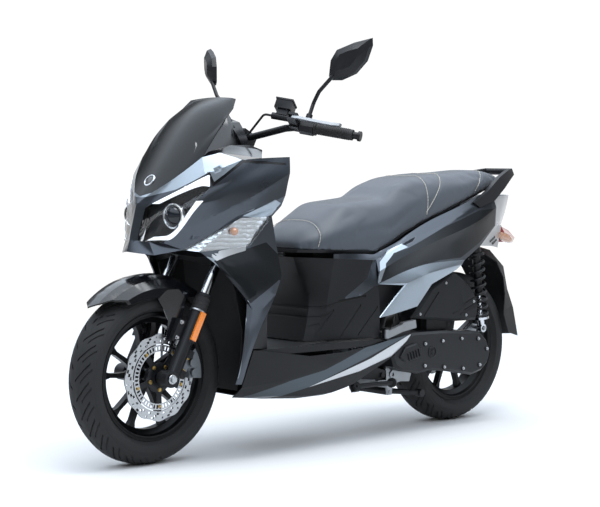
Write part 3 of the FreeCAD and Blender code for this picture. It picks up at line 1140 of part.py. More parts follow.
def grab_rail():
    """Moulded grab handles on each side, joined behind the seat and bolted to the frame."""
    top = [V(28, 134, 773), V(-64, 121, 813), V(-157, 100, 863), V(-223, 82, 886), V(-272, 62, 894)]
    low = [V(-6, 135, 755), V(-104, 121, 779), V(-187, 99, 823), V(-239, 85, 856), V(-283, 64, 872)]
    inner_top = [p - V(0, depth, 0) for p, depth in zip(top, (8, 16, 18, 18, 18))]
    inner_low = [p - V(0, depth, 0) for p, depth in zip(low, (5, 8, 18, 18, 18))]
    arm = between([top, low], [inner_top, inner_low])
    bar = rod(V(-270, -56, 882), V(-270, 56, 882), 12)
    foot = side_plate([(-110, 700.2), (-140, 703.5), (-150, 790), (-186, 838), (-165, 850), (-125, 800)], 76,
                      90)
    half = fused(arm, foot)
    rail = fused(half, mirrored(half), bar)
    return largest(rail.cut(side_panels()).cut(tail_cowl()))


def rear_mudguard():
    """The fender over the rear wheel, running down into the plate holder."""
    rows = [[V(60, 0, 622), V(60, 50, 617), V(60, 76, 606)],
            [V(-64, 0, 626), V(-64, 50, 622), V(-64, 88, 604)],
            [V(-172, 0, 606), V(-168, 50, 600), V(-160, 90, 560)],
            [V(-262, 0, 548), V(-250, 50, 538), V(-205, 88, 500)],
            [V(-285, 0, 465), V(-275, 50, 455), V(-215, 88, 440)],
            [V(-330, 0, 390), V(-312, 50, 385), V(-208, 90, 368)],
            [V(-379, 0, 281), V(-350, 45, 278), V(-240, 88, 300)]]
    return panel(across_centre(rows), (V(0, 0, 300), V(0, 0, 420)))


def storage_bin():
    """The open-topped bucket under the seat, with the seat hinge's pin at its front."""
    rim = [(x, low - SEAT_BASE_T - GAP) for x, low, high, wide, narrow in SEAT_STATIONS if 100 < x < 800]
    rim = [(770, 614.7)] + rim + [(60, 770.6)]
    floor = [(60, 672), (330, 640), (440, 560), (455, 442.4), (700, 442.4), (745, 480)]
    front = prism([V(x, -90, z) for x, z in rim + floor], V(0, 180, 0)).common(box(330, 800, -90, 90, 400,
                                                                                   900))
    rear = prism([V(x, -74, z) for x, z in rim + floor], V(0, 148, 0)).common(box(0, 331, -74, 74, 400, 900))
    t = PANEL_T
    inside = [(770 - t, 900), (63, 900), (63, 672 + t), (331, 640 + t), (442, 560 + t), (457, 442.4 + t),
              (699, 442.4 + t), (743, 482), (770 - t, 615)]
    hollow = fused(side_plate(inside, -71, 71), side_plate(inside, -87,
                                                           87).common(box(333, 800, -90, 90, 400, 900)))
    shell = fused(front, rear).cut(hollow)
    plate = box(765, SEAT_HINGE.x, -14, 14, 600.5, 604.5)
    knuckle = rod(SEAT_HINGE - ACROSS * 14, SEAT_HINGE + ACROSS * 14, HINGE_EYE_R)
    pin = rod(SEAT_HINGE - ACROSS * 27, SEAT_HINGE + ACROSS * 27, HINGE_PIN_R)
    return fused(shell, plate, knuckle, pin)


def fuel_tank():
    tank = box(690, 915, -92, 92, 206, FLOOR_Z - FLOOR_T - GAP)
    return tank.makeChamfer(14, tank.Edges)


# Seat

SEAT_HINGE = V(836, 0, 608)
HINGE_PIN_R = 3.0
HINGE_EYE_R = 6.0
SEAT_STATIONS = [
    # x, lower z, upper z, lower half-width, upper half-width
    (838, 626, 646, 92, 52), (800, 626, 684, 122, 70), (730, 624, 722, 140, 84), (650, 622, 762, 148, 100),
    (540, 617, 772, 152, 120), (455, 652, 782, 152, 122), (395, 678, 820, 148, 114), (310, 709, 848, 143, 104),
    (190, 744, 862, 133, 94), (50, 784, 869, 116, 86), (-100, 824, 884, 86, 68), (-208, 848, 868, 58, 40)]


def seat_cushion():
    """The foam and cover as one closed solid, stepped for the passenger."""
    wires = []
    for x, low, high, wide, narrow in SEAT_STATIONS:
        middle = low + (high - low) * 0.55
        half = [(wide, low), (wide + 2, middle), (narrow, high)]
        points = [V(x, y, z) for y, z in half] + [V(x, -y, z) for y, z in half[::-1]]
        wires.append(Part.makePolygon(points + [points[0]]))
    return Part.makeLoft(wires, True, True)


def seat_base():
    """The moulded pan under the cushion, with its hinge tongue at the front."""
    wires = []
    for x, low, high, wide, narrow in SEAT_STATIONS:
        points = [V(x, wide - 2, low), V(x, -wide + 2, low), V(x, -wide + 8, low - SEAT_BASE_T),
                  V(x, wide - 8, low - SEAT_BASE_T)]
        wires.append(Part.makePolygon(points + [points[0]]))
    pan = Part.makeLoft(wires, True, True)
    ears = []
    for side in (-1, 1):
        near, far = SEAT_HINGE + ACROSS * side * (14 + GAP), SEAT_HINGE + ACROSS * side * 26
        low, high = sorted((near.y, far.y))
        ears += [rod(near, far, HINGE_EYE_R), box(SEAT_HINGE.x - 6, SEAT_HINGE.x + 2, low, high, SEAT_HINGE.z,
                                                  617)]
    bore = rod(SEAT_HINGE - ACROSS * 30, SEAT_HINGE + ACROSS * 30, HINGE_PIN_R + RUN_FIT)
    return fused(pan, *ears).cut(bore)


# Stands, pegs and key

STAND_PIVOT = V(396, 0, 138)
STAND_PIN_R = 6.0
STAND_HALF = 80.0


def centre_stand():
    """Two legs on a cross tube, folded up behind the belt case."""
    left, right = STAND_PIVOT + ACROSS * STAND_HALF, STAND_PIVOT - ACROSS * STAND_HALF
    knee = STAND_PIVOT + V(-56, 84, -4)
    toe = STAND_PIVOT + V(-140, 98, -14)
    leg = pipe([STAND_PIVOT + V(-4, 66, 0), knee, toe], 9, 30)
    foot = rod(toe - ACROSS * 12, toe + ACROSS * 14, 13)
    tie = rod(V(knee.x - 8, -knee.y, knee.z), V(knee.x - 8, knee.y, knee.z), 7)
    solid = fused(rod(right, left, 12), leg, mirrored(leg), foot, mirrored(foot), tie)
    return solid.cut(rod(right - ACROSS, left + ACROSS, STAND_PIN_R + RUN_FIT))


SIDE_PIVOT = V(600, 128, 178)
SIDE_TILT = 27.0                        # the pivot leans, so that the leg swings outwards
SIDE_AXIS = V(0, -math.cos(math.radians(SIDE_TILT)), -math.sin(math.radians(SIDE_TILT)))
SIDE_RISE = V(0, -math.sin(math.radians(SIDE_TILT)), math.cos(math.radians(SIDE_TILT)))
SIDE_HUB = 12.0
SIDE_PIN_R = 5.0
SIDE_SWING = 100.0
SIDE_LENGTH = 155.0


def side_stand():
    """A single leg with a foot pad, folded back along the left side."""
    end = SIDE_PIVOT + V(-1, 0.08, 0) * SIDE_LENGTH
    leg = rod(SIDE_PIVOT, end, 8)
    hub = rod(SIDE_PIVOT - SIDE_AXIS * SIDE_HUB / 2, SIDE_PIVOT + SIDE_AXIS * SIDE_HUB / 2, 15)
    down = FreeCAD.Rotation(SIDE_AXIS, -SIDE_SWING).multVec(V(0, 0, -1))
    pad = rod(end, end + down * 12, 16)
    bore = rod(SIDE_PIVOT - SIDE_AXIS * 20, SIDE_PIVOT + SIDE_AXIS * 20, SIDE_PIN_R + RUN_FIT)
    faces = rod(SIDE_PIVOT + SIDE_AXIS * SIDE_HUB / 2, SIDE_PIVOT + SIDE_AXIS * 20, 24)
    return fused(leg, hub, pad).cut(bore).cut(faces)


PEG_PIVOT = V(538, 200, 350)
PEG_EYE_R = 8.0
PEG_PIN_R = 4.0


def footpeg():
    """A folding passenger peg, stored flat along the body."""
    outline = [(538, 338), (538, 363), (530, 363), (470, 378), (466, 384), (406, 390), (401, 364), (470, 354),
               (530, 338)]
    blade = side_plate(outline, PEG_PIVOT.y - PEG_EYE_R, PEG_PIVOT.y + PEG_EYE_R)
    hub = rod(PEG_PIVOT - V(0, 0, 13.5), PEG_PIVOT + V(0, 0, 15.5), PEG_EYE_R)
    return fused(blade, hub).cut(rod(PEG_PIVOT - V(0, 0, 20), PEG_PIVOT + V(0, 0, 20), PEG_PIN_R + RUN_FIT))


KEY_PLACE = at_front(-386, -92, 800)
KEY_R = 10.0


def key_switch():
    """The ignition key in its lock barrel, beside the steering column."""
    barrel = rod(KEY_PLACE + V(14, 0, 0), KEY_PLACE - V(12, 0, 0), KEY_R)
    bow = box(KEY_PLACE.x - 38, KEY_PLACE.x - 11, KEY_PLACE.y - 2, KEY_PLACE.y + 2, KEY_PLACE.z - 9,
              KEY_PLACE.z + 9)
    return fused(barrel, bow)


NODES = {
    "main_frame": main_frame(),
    "front_cowl": front_cowl(),
    "windshield": windshield(),
    "screen_cowl": screen_cowl(),
    "headlight_lenses": headlight_lenses(),
    "headlight_units": headlight_units(),
    "indicator_lenses": indicator_lenses(),
    "leg_shields": leg_shields(),
    "inner_shield": inner_shield(),
    "wheel_liner": wheel_liner(),
    "floorboard": floorboard(),
    "side_skirts": side_skirts(),
    "tunnel_cover": tunnel_cover(),
    "side_panels": side_panels(),
    "side_accents": side_accents(),
    "tail_cowl": tail_cowl(),
    "tail_light": tail_light(),
    "grab_rail": grab_rail(),
    "rear_mudguard": rear_mudguard(),
    "storage_bin": storage_bin(),
    "fuel_tank": fuel_tank(),
    "instrument_cluster": instrument_cluster(),
    "key_switch": key_switch(),
    "seat_cushion": seat_cushion(),
    "seat_base": seat_base(),
    "steering_stem": steering_stem(),
    "fork_stanchions": fork_stanchions(),
    "handlebar": handlebar(),
    "switchgear": switchgear(),
    "brake_reservoirs": pair(brake_reservoir()),
    "brake_hoses": brake_hoses(),
    "grip_left": grip(),
    "throttle_grip": throttle_grip(),
    "brake_lever_left": brake_lever(),
    "brake_lever_right": mirrored(brake_lever()),
    "horn_button": plunger(HORN),
    "turn_switch": plunger(TURN),
    "starter_button": mirrored(plunger(START)),
    "mirror_left": mirror(),
    "mirror_right": mirrored(mirror()),
    "fork_sliders": fork_sliders(),
    "front_mudguard": front_mudguard(),
    "front_caliper": front_caliper(),
    "front_rim": rim(FRONT_AXLE, FRONT_RIM_W),
    "front_tyre": tyre(FRONT_AXLE, FRONT_TYRE_W, FRONT_RIM_W),
    "front_disc": disc(FRONT_AXLE, FRONT_DISC_R, FRONT_DISC_Y, FRONT_RIM_W / 2 - 6),
    "engine": engine(),
    "cvt_cover": cvt_cover(),
    "air_filter_box": air_filter_box(),
    "exhaust": exhaust(),
    "rear_rim": rim(REAR_AXLE, REAR_RIM_W),
    "rear_tyre": tyre(REAR_AXLE, REAR_TYRE_W, REAR_RIM_W),
    "rear_disc": disc(REAR_AXLE, REAR_DISC_R, REAR_DISC_Y, -REAR_HUB_HALF),
    "shock_bodies": shock_bodies(),
    "shock_rods": shock_rods(),
    "shock_springs": shock_springs(),
    "centre_stand": centre_stand(),
    "side_stand": side_stand(),
    "footpeg_left": footpeg(),
    "footpeg_right": mirrored(footpeg()),
}

os.makedirs("parts", exist_ok=True)
for name, shape in NODES.items():
    placed = shape.copy()
    placed.translate(V(-ORIGIN_X, 0, 0))
    placed.exportStep("parts/" + name + ".step")
    flaw = "" if shape.isValid() else "  INVALID"
    print(f"{name:20s} solids {len(shape.Solids):2d}  volume {shape.Volume / 1000:9.1f} cm3{flaw}")
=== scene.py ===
"""Dresses the moped scooter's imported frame: bodywork, lamps, wheels, seat, controls and machinery."""
import math

import bmesh
import bpy
from bpy.props import FloatProperty, FloatVectorProperty, IntProperty, PointerProperty
from mathutils import Matrix, Vector
from mathutils.bvhtree import BVHTree


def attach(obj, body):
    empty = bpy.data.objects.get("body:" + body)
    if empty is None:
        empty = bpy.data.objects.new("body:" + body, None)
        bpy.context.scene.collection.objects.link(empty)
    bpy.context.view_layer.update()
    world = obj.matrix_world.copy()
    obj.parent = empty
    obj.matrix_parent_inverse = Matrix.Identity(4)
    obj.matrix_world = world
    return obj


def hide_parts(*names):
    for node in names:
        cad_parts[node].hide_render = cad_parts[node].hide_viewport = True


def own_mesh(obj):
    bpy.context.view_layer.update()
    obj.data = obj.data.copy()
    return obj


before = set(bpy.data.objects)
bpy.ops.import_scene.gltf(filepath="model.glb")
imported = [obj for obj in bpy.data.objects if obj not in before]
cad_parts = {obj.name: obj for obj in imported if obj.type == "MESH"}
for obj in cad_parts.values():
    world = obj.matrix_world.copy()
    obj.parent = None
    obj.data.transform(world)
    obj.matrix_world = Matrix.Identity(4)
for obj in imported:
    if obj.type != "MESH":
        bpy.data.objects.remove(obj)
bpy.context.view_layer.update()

bl_info = {
    "name": "Moped Scooter",
    "version": (1, 0, 0),
    "blender": (4, 5, 0),
    "location": "View3D > Sidebar > Scooter",
    "description": "Adds the looks of a moped scooter to its packed frame",
    "category": "Add Mesh",
}

MM = 0.001
AXLE_X = 0.6265                     # the rear axle, behind the frame's middle
WHEELBASE = 1370.0
WHEEL_R = 262.0
RAKE = math.radians(27.0)
ACROSS = Vector((0, 1, 0))
STEER_UP = Vector((-math.sin(RAKE), 0, math.cos(RAKE)))
STEER_AHEAD = Vector((math.cos(RAKE), 0, math.sin(RAKE)))


# Places, in millimetres from the rear axle, on the ground

def at(x, y, z):
    return Vector((x * MM - AXLE_X, y * MM, z * MM))


def at_front(x, y, z):
    return at(WHEELBASE + x, y, z)


def steer(ahead, y, up):
    """A point in the steering frame: ahead of the axis, sideways, up along it."""
    base = at_front(0, 0, WHEEL_R) - STEER_AHEAD * 43 * MM
    return base + STEER_AHEAD * ahead * MM + ACROSS * y * MM + STEER_UP * up * MM


FRONT_AXLE = at_front(0, 0, WHEEL_R)
REAR_AXLE = at(0, 0, WHEEL_R)
GRIP_LOW = steer(-6, 212, 861)
GRIP_HIGH = steer(-88, 362, 872)
GRIP_AXIS = (GRIP_HIGH - GRIP_LOW).normalized()
GRIP_START = GRIP_HIGH - GRIP_AXIS * 138 * MM


# Settings a user may change

def colour_setting(name, description, code):
    return FloatVectorProperty(name=name, description=description, subtype="COLOR", size=3, min=0, max=1,
                               default=[int(code[k:k + 2], 16) / 255 for k in (1, 3, 5)])


def length_setting(name, description, millimetres):
    return FloatProperty(name=name, description=description, unit="LENGTH", subtype="DISTANCE", min=0,
                         default=millimetres * MM)


class ScooterColours(bpy.types.PropertyGroup):
    body: colour_setting("Body", "Satin paint of the cowls and shields", "#4a4f56")
    accent: colour_setting("Accents", "Satin paint of the side accents and leg-shield edges", "#98a2ab")
    tail: colour_setting("Tail", "Silver paint of the tail", "#c3c6c9")
    plastic: colour_setting("Moulded plastic", "Unpainted plastic of the floor, tunnel and guards", "#141517")
    seat: colour_setting("Seat cover", "Coated fabric of the seat", "#40464e")
    thread: colour_setting("Seat thread", "Decorative stitching of the seat", "#b9b4a8")
    wheels: colour_setting("Wheels", "Paint of the cast wheels", "#0c0d0f")


class ScooterSizes(bpy.types.PropertyGroup):
    panel_edge: length_setting("Panel edge", "Rounding of the body panels' edges", 1.4)
    part_edge: length_setting("Part edge", "Rounding of small parts' edges", 0.8)
    seat_swell: length_setting("Seat swell", "How far the foam may stand out of its hard form", 7.0)
    stitch_length: length_setting("Stitch", "Length of one stitch of the seat's thread", 9.0)
    tread_depth: length_setting("Tread depth", "Depth of the tyres' grooves", 4.0)
    grooves: IntProperty(name="Tread grooves", description="Grooves round each side of a tyre", min=8, max=60,
                         default=28)


def settings():
    return bpy.context.scene.scooter_sizes


# Materials

def linear(colour):
    """An sRGB colour, from a hex code or three shares, turned to the linear values that nodes take."""
    if isinstance(colour, str):
        colour = [int(colour[k:k + 2], 16) / 255 for k in (1, 3, 5)]
    return [c / 12.92 if c <= 0.04045 else ((c + 0.055) / 1.055) ** 2.4 for c in colour[:3]] + [1.0]


def node(tree, kind, inputs=None, **own):
    """Adds a node, with its own settings and, for its sockets, values or the sockets that feed them."""
    made = tree.nodes.new("ShaderNode" + kind)
    for name, value in own.items():
        setattr(made, name, value)
    for name, value in (inputs or {}).items():
        if isinstance(value, bpy.types.NodeSocket):
            tree.links.new(value, made.inputs[name])
        else:
            made.inputs[name].default_value = value
    return made


def material(name, **shader_values):
    """A material with its principled shader and the object's own coordinates."""
    made = bpy.data.materials.new(name)
    made.use_nodes = True
    tree = made.node_tree
    tree.nodes.clear()
    values = {key.replace("_", " "): value for key, value in shader_values.items()}
    shader = node(tree, "BsdfPrincipled", values)
    node(tree, "OutputMaterial", {"Surface": shader.outputs[0]})
    return made, tree, shader, node(tree, "TexCoord").outputs["Object"]


def noise(tree, place, size, detail):
    """Noise whose blots are of a size in millimetres."""
    return node(tree, "TexNoise", {"Vector": place, "Scale": 1000 / size, "Detail": detail}).outputs[0]


def remap(tree, value, given, wanted=(0.0, 1.0)):
    """Takes one range of a value to another, and holds it there past its ends."""
    return node(tree, "MapRange", {"Value": value, "From Min": given[0], "From Max": given[1],
                                   "To Min": wanted[0], "To Max": wanted[1]}).outputs[0]


def shade_by(tree, shader, share, colour, change):
    """Lets a pattern darken and lighten the colour by a share of it."""
    low = [c * (1 - change) for c in colour[:3]] + [1.0]
    high = [min(1.0, c * (1 + change)) for c in colour[:3]] + [1.0]
    mix = node(tree, "Mix", {"Factor": share, 6: low, 7: high}, data_type="RGBA")
    tree.links.new(mix.outputs[2], shader.inputs["Base Color"])


def roughen(tree, shader, share, low, high):
    tree.links.new(remap(tree, share, (0.0, 1.0), (low, high)), shader.inputs["Roughness"])


def emboss(tree, shader, height, depth, strength=1.0):
    bump = node(tree, "Bump", {"Height": height, "Distance": depth * MM, "Strength": strength})
    tree.links.new(bump.outputs[0], shader.inputs["Normal"])


def painted_plastic(name, colour, metallic, roughness, coat):
    """ABS, sprayed and lacquered: metal flake in the colour, and a slight orange peel in the lacquer."""
    made, tree, shader, place = material(name, Metallic=metallic, Coat_Weight=coat, Coat_Roughness=0.12,
                                         IOR=1.5)
    # Flake is some 0.05 mm across, and is drawn at 2 mm so that it shows as a faint sparkle.
    flake = noise(tree, place, 2.0, 1.0)
    haze = noise(tree, place, 90.0, 3.0)
    shade_by(tree, shader, flake, linear(colour), 0.10)
    roughen(tree, shader, haze, roughness - 0.05, roughness + 0.06)
    peel = noise(tree, place, 9.0, 1.0)
    emboss(tree, shader, peel, 0.05, 0.25)
    return made


def moulded_plastic(name, colour, roughness, grain):
    """Polypropylene from a spark-eroded mould: a fine pebble grain that scatters the light."""
    made, tree, shader, place = material(name, IOR=1.49, Specular_IOR_Level=0.3)
    pebble = node(tree, "TexVoronoi", {"Vector": place, "Scale": 1000 / grain}, feature="SMOOTH_F1")
    wear = noise(tree, place, 55.0, 4.0)
    shade_by(tree, shader, wear, linear(colour), 0.16)
    roughen(tree, shader, wear, roughness - 0.06, roughness + 0.08)
    emboss(tree, shader, pebble.outputs[0], 0.25, 0.35)
    return made


def cast_metal(name, colour, roughness, coarse, metallic=1.0):
    """Die-cast aluminium: a fine sandy skin with a faint mottle."""
    made, tree, shader, place = material(name, Metallic=metallic)
    sand = noise(tree, place, coarse, 3.0)
    mottle = noise(tree, place, 40.0, 2.0)
    shade_by(tree, shader, mottle, linear(colour), 0.12)
    roughen(tree, shader, mottle, roughness - 0.05, roughness + 0.08)
    emboss(tree, shader, sand, 0.12, 0.4)
    return made


def worked_steel(name, colour, roughness, grind):
    """Ground or drawn steel: fine parallel tool marks, and a slight unevenness in the polish."""
    made, tree, shader, place = material(name, Metallic=1.0)
    along = node(tree, "Mapping", {"Vector": place, "Scale": (0.15, 1.0, 1.0)})
    marks = noise(tree, along.outputs[0], grind, 2.0)
    shade_by(tree, shader, marks, linear(colour), 0.08)
    roughen(tree, shader, marks, roughness - 0.04, roughness + 0.06)
    emboss(tree, shader, marks, 0.03, 0.3)
    return made


def turned_steel(name, colour, centre, ring):
    """Stainless steel ground on a rotary table: circular marks about the wheel's axle."""
    made, tree, shader, place = material(name, Metallic=1.0)
    middle = node(tree, "Mapping", {"Vector": place, "Location": [-c for c in centre], "Scale": (1, 0, 1)})
    reach = node(tree, "VectorMath", {0: middle.outputs[0]}, operation="LENGTH")
    marks = node(tree, "TexNoise", {"W": reach.outputs["Value"], "Scale": 1000 / ring, "Detail": 2.0},
                 noise_dimensions="1D")
    shade_by(tree, shader, marks.outputs[0], linear(colour), 0.14)
    roughen(tree, shader, marks.outputs[0], 0.22, 0.38)
    emboss(tree, shader, marks.outputs[0], 0.05, 0.5)
    return made


def rubber(name, colour, roughness, grain):
    """Carbon-filled rubber: dull, slightly dusty, with the mould's fine texture."""
    made, tree, shader, place = material(name, IOR=1.52)
    dust = noise(tree, place, 35.0, 5.0)
    skin = noise(tree, place, grain, 2.0)
    shade_by(tree, shader, dust, linear(colour), 0.25)
    roughen(tree, shader, dust, roughness - 0.08, roughness + 0.08)
    emboss(tree, shader, skin, 0.15, 0.5)
    return made


def coated_fabric(name, colour):
    """Vinyl-coated seat fabric: pressed leather grain, soft sheen, a little worn to gloss where one sits."""
    made, tree, shader, place = material(name, IOR=1.5, Sheen_Weight=0.25, Sheen_Roughness=0.4)
    # The pressed grain is about 1 mm, drawn at 3 mm so that it shows.
    cells = node(tree, "TexVoronoi", {"Vector": place, "Scale": 1000 / 3.0}, feature="DISTANCE_TO_EDGE")
    grain = remap(tree, cells.outputs[0], (0.0, 0.12))
    worn = noise(tree, place, 140.0, 3.0)
    shade_by(tree, shader, worn, linear(colour), 0.10)
    roughen(tree, shader, worn, 0.42, 0.56)
    emboss(tree, shader, grain, 0.12, 0.35)
    return made


def spun_thread(name, colour):
    """Polyester thread: matt, with its twist showing as fine bands."""
    made, tree, shader, place = material(name, Roughness=0.8, Sheen_Weight=0.4)
    twist = node(tree, "TexWave", {"Vector": place, "Scale": 1000 / 6.0, "Distortion": 1.0})
    shade_by(tree, shader, twist.outputs[0], linear(colour), 0.2)
    return made


def clear_cover(name, colour, clearness, roughness=0.04, bending=1.45, coat=0.0):
    """Polycarbonate, injection moulded and hard-coated: clear, glossy, with a faint flow ripple."""
    made, tree, shader, place = material(name, Base_Color=linear(colour), Roughness=roughness, IOR=bending,
                                         Transmission_Weight=clearness, Coat_Weight=coat, Coat_Roughness=0.02)
    ripple = noise(tree, place, 30.0, 1.0)
    emboss(tree, shader, ripple, 0.05, 0.3)
    return made


def prism_lens(name, colour, cell):
    """Coloured acrylic with moulded prisms behind its face, which break the light into cells."""
    made, tree, shader, place = material(name, Roughness=0.12, IOR=1.49, Coat_Weight=1.0, Coat_Roughness=0.04)
    cells = node(tree, "TexVoronoi", {"Vector": place, "Scale": 1000 / cell, "Randomness": 0.15})
    shade_by(tree, shader, cells.outputs["Distance"], linear(colour), 0.35)
    emboss(tree, shader, cells.outputs["Distance"], 0.5, 0.6)
    return made


def vapour_chrome(name, colour, facet):
    """Aluminium flashed on plastic: bright, broken up by the reflector's facets."""
    made, tree, shader, place = material(name, Metallic=1.0, Roughness=0.24, Base_Color=linear(colour))
    cells = node(tree, "TexVoronoi", {"Vector": place, "Scale": 1000 / facet, "Randomness": 0.3})
    emboss(tree, shader, cells.outputs["Distance"], 1.4, 0.7)
    return made


def light_guide(name, colour, glow):
    """Frosted acrylic light guide: milky white, a little bright from within."""
    made, tree, shader, place = material(name, Base_Color=linear(colour), Roughness=0.3, IOR=1.49,
                                         Emission_Color=linear(colour), Emission_Strength=glow)
    frost = noise(tree, place, 4.0, 1.0)
    emboss(tree, shader, frost, 0.08, 0.3)
    return made


def silvered_glass(name):
    """Float glass silvered behind: a clean dark mirror with a trace of dust."""
    made, tree, shader, place = material(name, Metallic=1.0, Base_Color=linear("#aeb4ba"))
    dust = noise(tree, place, 25.0, 4.0)
    roughen(tree, shader, dust, 0.02, 0.08)
    return made


FINISH = {}


def mix_finishes(tint):
    """Makes every material once, from the scene's colours."""
    front = (FRONT_AXLE.x, 0, FRONT_AXLE.z)
    rear = (REAR_AXLE.x, 0, REAR_AXLE.z)
    FINISH.update(
        body=painted_plastic("satin_painted_abs", tint.body, 0.9, 0.3, 0.3),
        accent=painted_plastic("satin_painted_abs_light", tint.accent, 0.9, 0.36, 0.3),
        gloss=painted_plastic("gloss_black_abs", "#0d0e11", 0.0, 0.16, 0.4),
        flash=painted_plastic("satin_painted_abs_dark", "#4b545b", 0.9, 0.36, 0.2),
        # A dark paint that is painted shade: it darkens facets of the leg shields and side panels.
        shade=painted_plastic("satin_abs_painted_shade", "#26292c", 0.9, 0.36, 0.2),
        guard=moulded_plastic("black_polypropylene", "#0b0b0c", 0.6, 3.0),
        silver=painted_plastic("silver_painted_abs", tint.tail, 0.7, 0.32, 0.4),
        plastic=moulded_plastic("moulded_polypropylene", tint.plastic, 0.52, 3.0),
        nylon=moulded_plastic("smooth_moulded_nylon", "#17181b", 0.4, 5.0),
        screen=clear_cover("smoked_polycarbonate", "#101214", 0.05, 0.16, 1.3),
        lens=clear_cover("clear_polycarbonate", "#f4f7fa", 1.0, 0.02, 1.04, 0.6),
        amber=prism_lens("amber_acrylic", "#e07a1c", 5.0),
        bulb=prism_lens("tinted_glass", "#b58a70", 4.0),
        red=prism_lens("red_acrylic", "#8e0b10", 6.0),
        chrome=vapour_chrome("flashed_aluminium", "#f2f4f5", 13.0),
        guide=light_guide("frosted_light_guide", "#eef2f6", 0.35),
        wheel=cast_metal("painted_cast_wheel", tint.wheels, 0.34, 1.6, 0.6),
        cast=cast_metal("bare_cast_aluminium", "#9a9da0", 0.42, 1.6),
        black_cast=cast_metal("black_cast_aluminium", "#1d1e21", 0.45, 1.6, 0.5),
        grey_cast=cast_metal("grey_cast_aluminium", "#6d7175", 0.38, 1.6, 0.9),
        steel=worked_steel("zinc_plated_steel", "#b8babc", 0.3, 1.2),
        brass=worked_steel("yellow_zinc_plating", "#b59a5e", 0.32, 1.2),
        chromed=worked_steel("hard_chromed_steel", "#c9ccd0", 0.1, 1.2),
        black_steel=moulded_plastic("powder_coated_steel", "#151618", 0.42, 2.0),
        exhaust=worked_steel("heat_darkened_steel", "#5b5855", 0.4, 1.6),
        disc=turned_steel("ground_stainless", "#b4b6b8", front, 1.5),
        rear_disc=turned_steel("ground_stainless_rear", "#b4b6b8", rear, 1.5),
        tyre=rubber("tyre_rubber", "#151516", 0.75, 2.5),
        rubber=rubber("grip_rubber", "#141415", 0.7, 2.0),
        seat=coated_fabric("seat_vinyl", tint.seat),
        thread=spun_thread("seat_thread", tint.thread),
        projector=clear_cover("projector_glass", "#20262c", 0.3, 0.02),
        mirror=silvered_glass("silvered_glass"))


# Making pieces

def clean_copy(name):
    """A CAD node's mesh with its doubles merged, its flat faces whole and its soft folds in quads."""
    form = bmesh.new()
    form.from_mesh(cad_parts[name].data)
    bmesh.ops.remove_doubles(form, verts=form.verts, dist=0.01 * MM)
    inner = {}
    for face in form.faces:
        inner.setdefault(frozenset(v.index for v in face.verts), []).append(face)
    shared = [face for group in inner.values() if len(group) > 1 for face in group]
    bmesh.ops.delete(form, geom=shared, context="FACES")
    bmesh.ops.dissolve_limit(form, angle_limit=math.radians(0.6), verts=form.verts, edges=form.edges)
    bmesh.ops.join_triangles(form, faces=[f for f in form.faces if len(f.verts) == 3],
                             angle_face_threshold=math.radians(18), angle_shape_threshold=math.radians(60))
    return form


def mark_folds(form, smooth):
    """Marks open edges and folds sharper than an angle, so that subdividing keeps them."""
    fold = form.edges.layers.float.new("crease_edge")
    for line in form.edges:
        line[fold] = float(not line.is_manifold or line.calc_face_angle(0) > math.radians(smooth))


def curved_copy(name, smooth=20, levels=2):
    """A CAD node's mesh rounded between its sharp folds."""
    form = clean_copy(name)
    mark_folds(form, smooth)
    mesh = bpy.data.meshes.new("flat")
    form.to_mesh(mesh)
    form.free()
    holder = bpy.data.objects.new("flat", mesh)
    bpy.context.scene.collection.objects.link(holder)
    curving = holder.modifiers.new("curved_skin", "SUBSURF")
    curving.levels = levels
    curving.boundary_smooth = "PRESERVE_CORNERS"
    form = bmesh.new()
    form.from_object(holder, bpy.context.evaluated_depsgraph_get())
    form.edges.layers.float.remove(form.edges.layers.float["crease_edge"])
    bpy.data.objects.remove(holder)
    bpy.data.meshes.remove(mesh)
    return form


def outer_side(name):
    """A finder of places on the outer side of a CAD node, from their x and z in the side view."""
    form = clean_copy(name)
    tree = BVHTree.FromBMesh(form)
    form.free()
    return lambda x, z, side=1: tree.ray_cast(at(x, 500 * side, z), ACROSS * -side)[0]


def piece(form, name, finish, body, replaces=(), edge=0.0, smooth=32, steps=2, curved=0):
    """Makes a bmesh an object of the scooter: its finish, rounded edges, and the body it rides on.
    Curved pieces are subdivided, and keep each fold sharper than the smooth angle as a crease."""
    mesh = bpy.data.meshes.new(name)
    if curved:
        mark_folds(form, smooth)
    form.to_mesh(mesh)
    form.free()
    mesh.shade_smooth()
    mesh.set_sharp_from_angle(angle=math.radians(smooth))
    for each in (finish if isinstance(finish, (list, tuple)) else [finish]):
        mesh.materials.append(each)
    made = bpy.data.objects.new(name, mesh)
    bpy.context.scene.collection.objects.link(made)
    if curved:
        curving = made.modifiers.new("curved_skin", "SUBSURF")
        curving.levels = curving.render_levels = curved
        curving.boundary_smooth = "PRESERVE_CORNERS"
    if edge:
        rounding = made.modifiers.new("rounded_edges", "BEVEL")
        rounding.width = edge
        rounding.segments = steps
        rounding.limit_method = "ANGLE"
        rounding.angle_limit = math.radians(smooth)
        rounding.harden_normals = True
    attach(made, body)
    if replaces:
        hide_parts(*replaces)
    return made


def dress(name, finish, body, edge=None, smooth=32, curved=0):
    """The piece that stands for one CAD node, with rounded edges."""
    edge = settings().part_edge if edge is None else edge
    return piece(clean_copy(name), name + "_skin", finish, body, [name], edge, smooth, curved=curved)


def facing(direction, centre=None):
    """The turn that takes Z to a direction, and a place."""
    turn = Vector(direction).to_track_quat("Z", "Y").to_matrix().to_4x4()
    return Matrix.Translation(centre) @ turn if centre is not None else turn


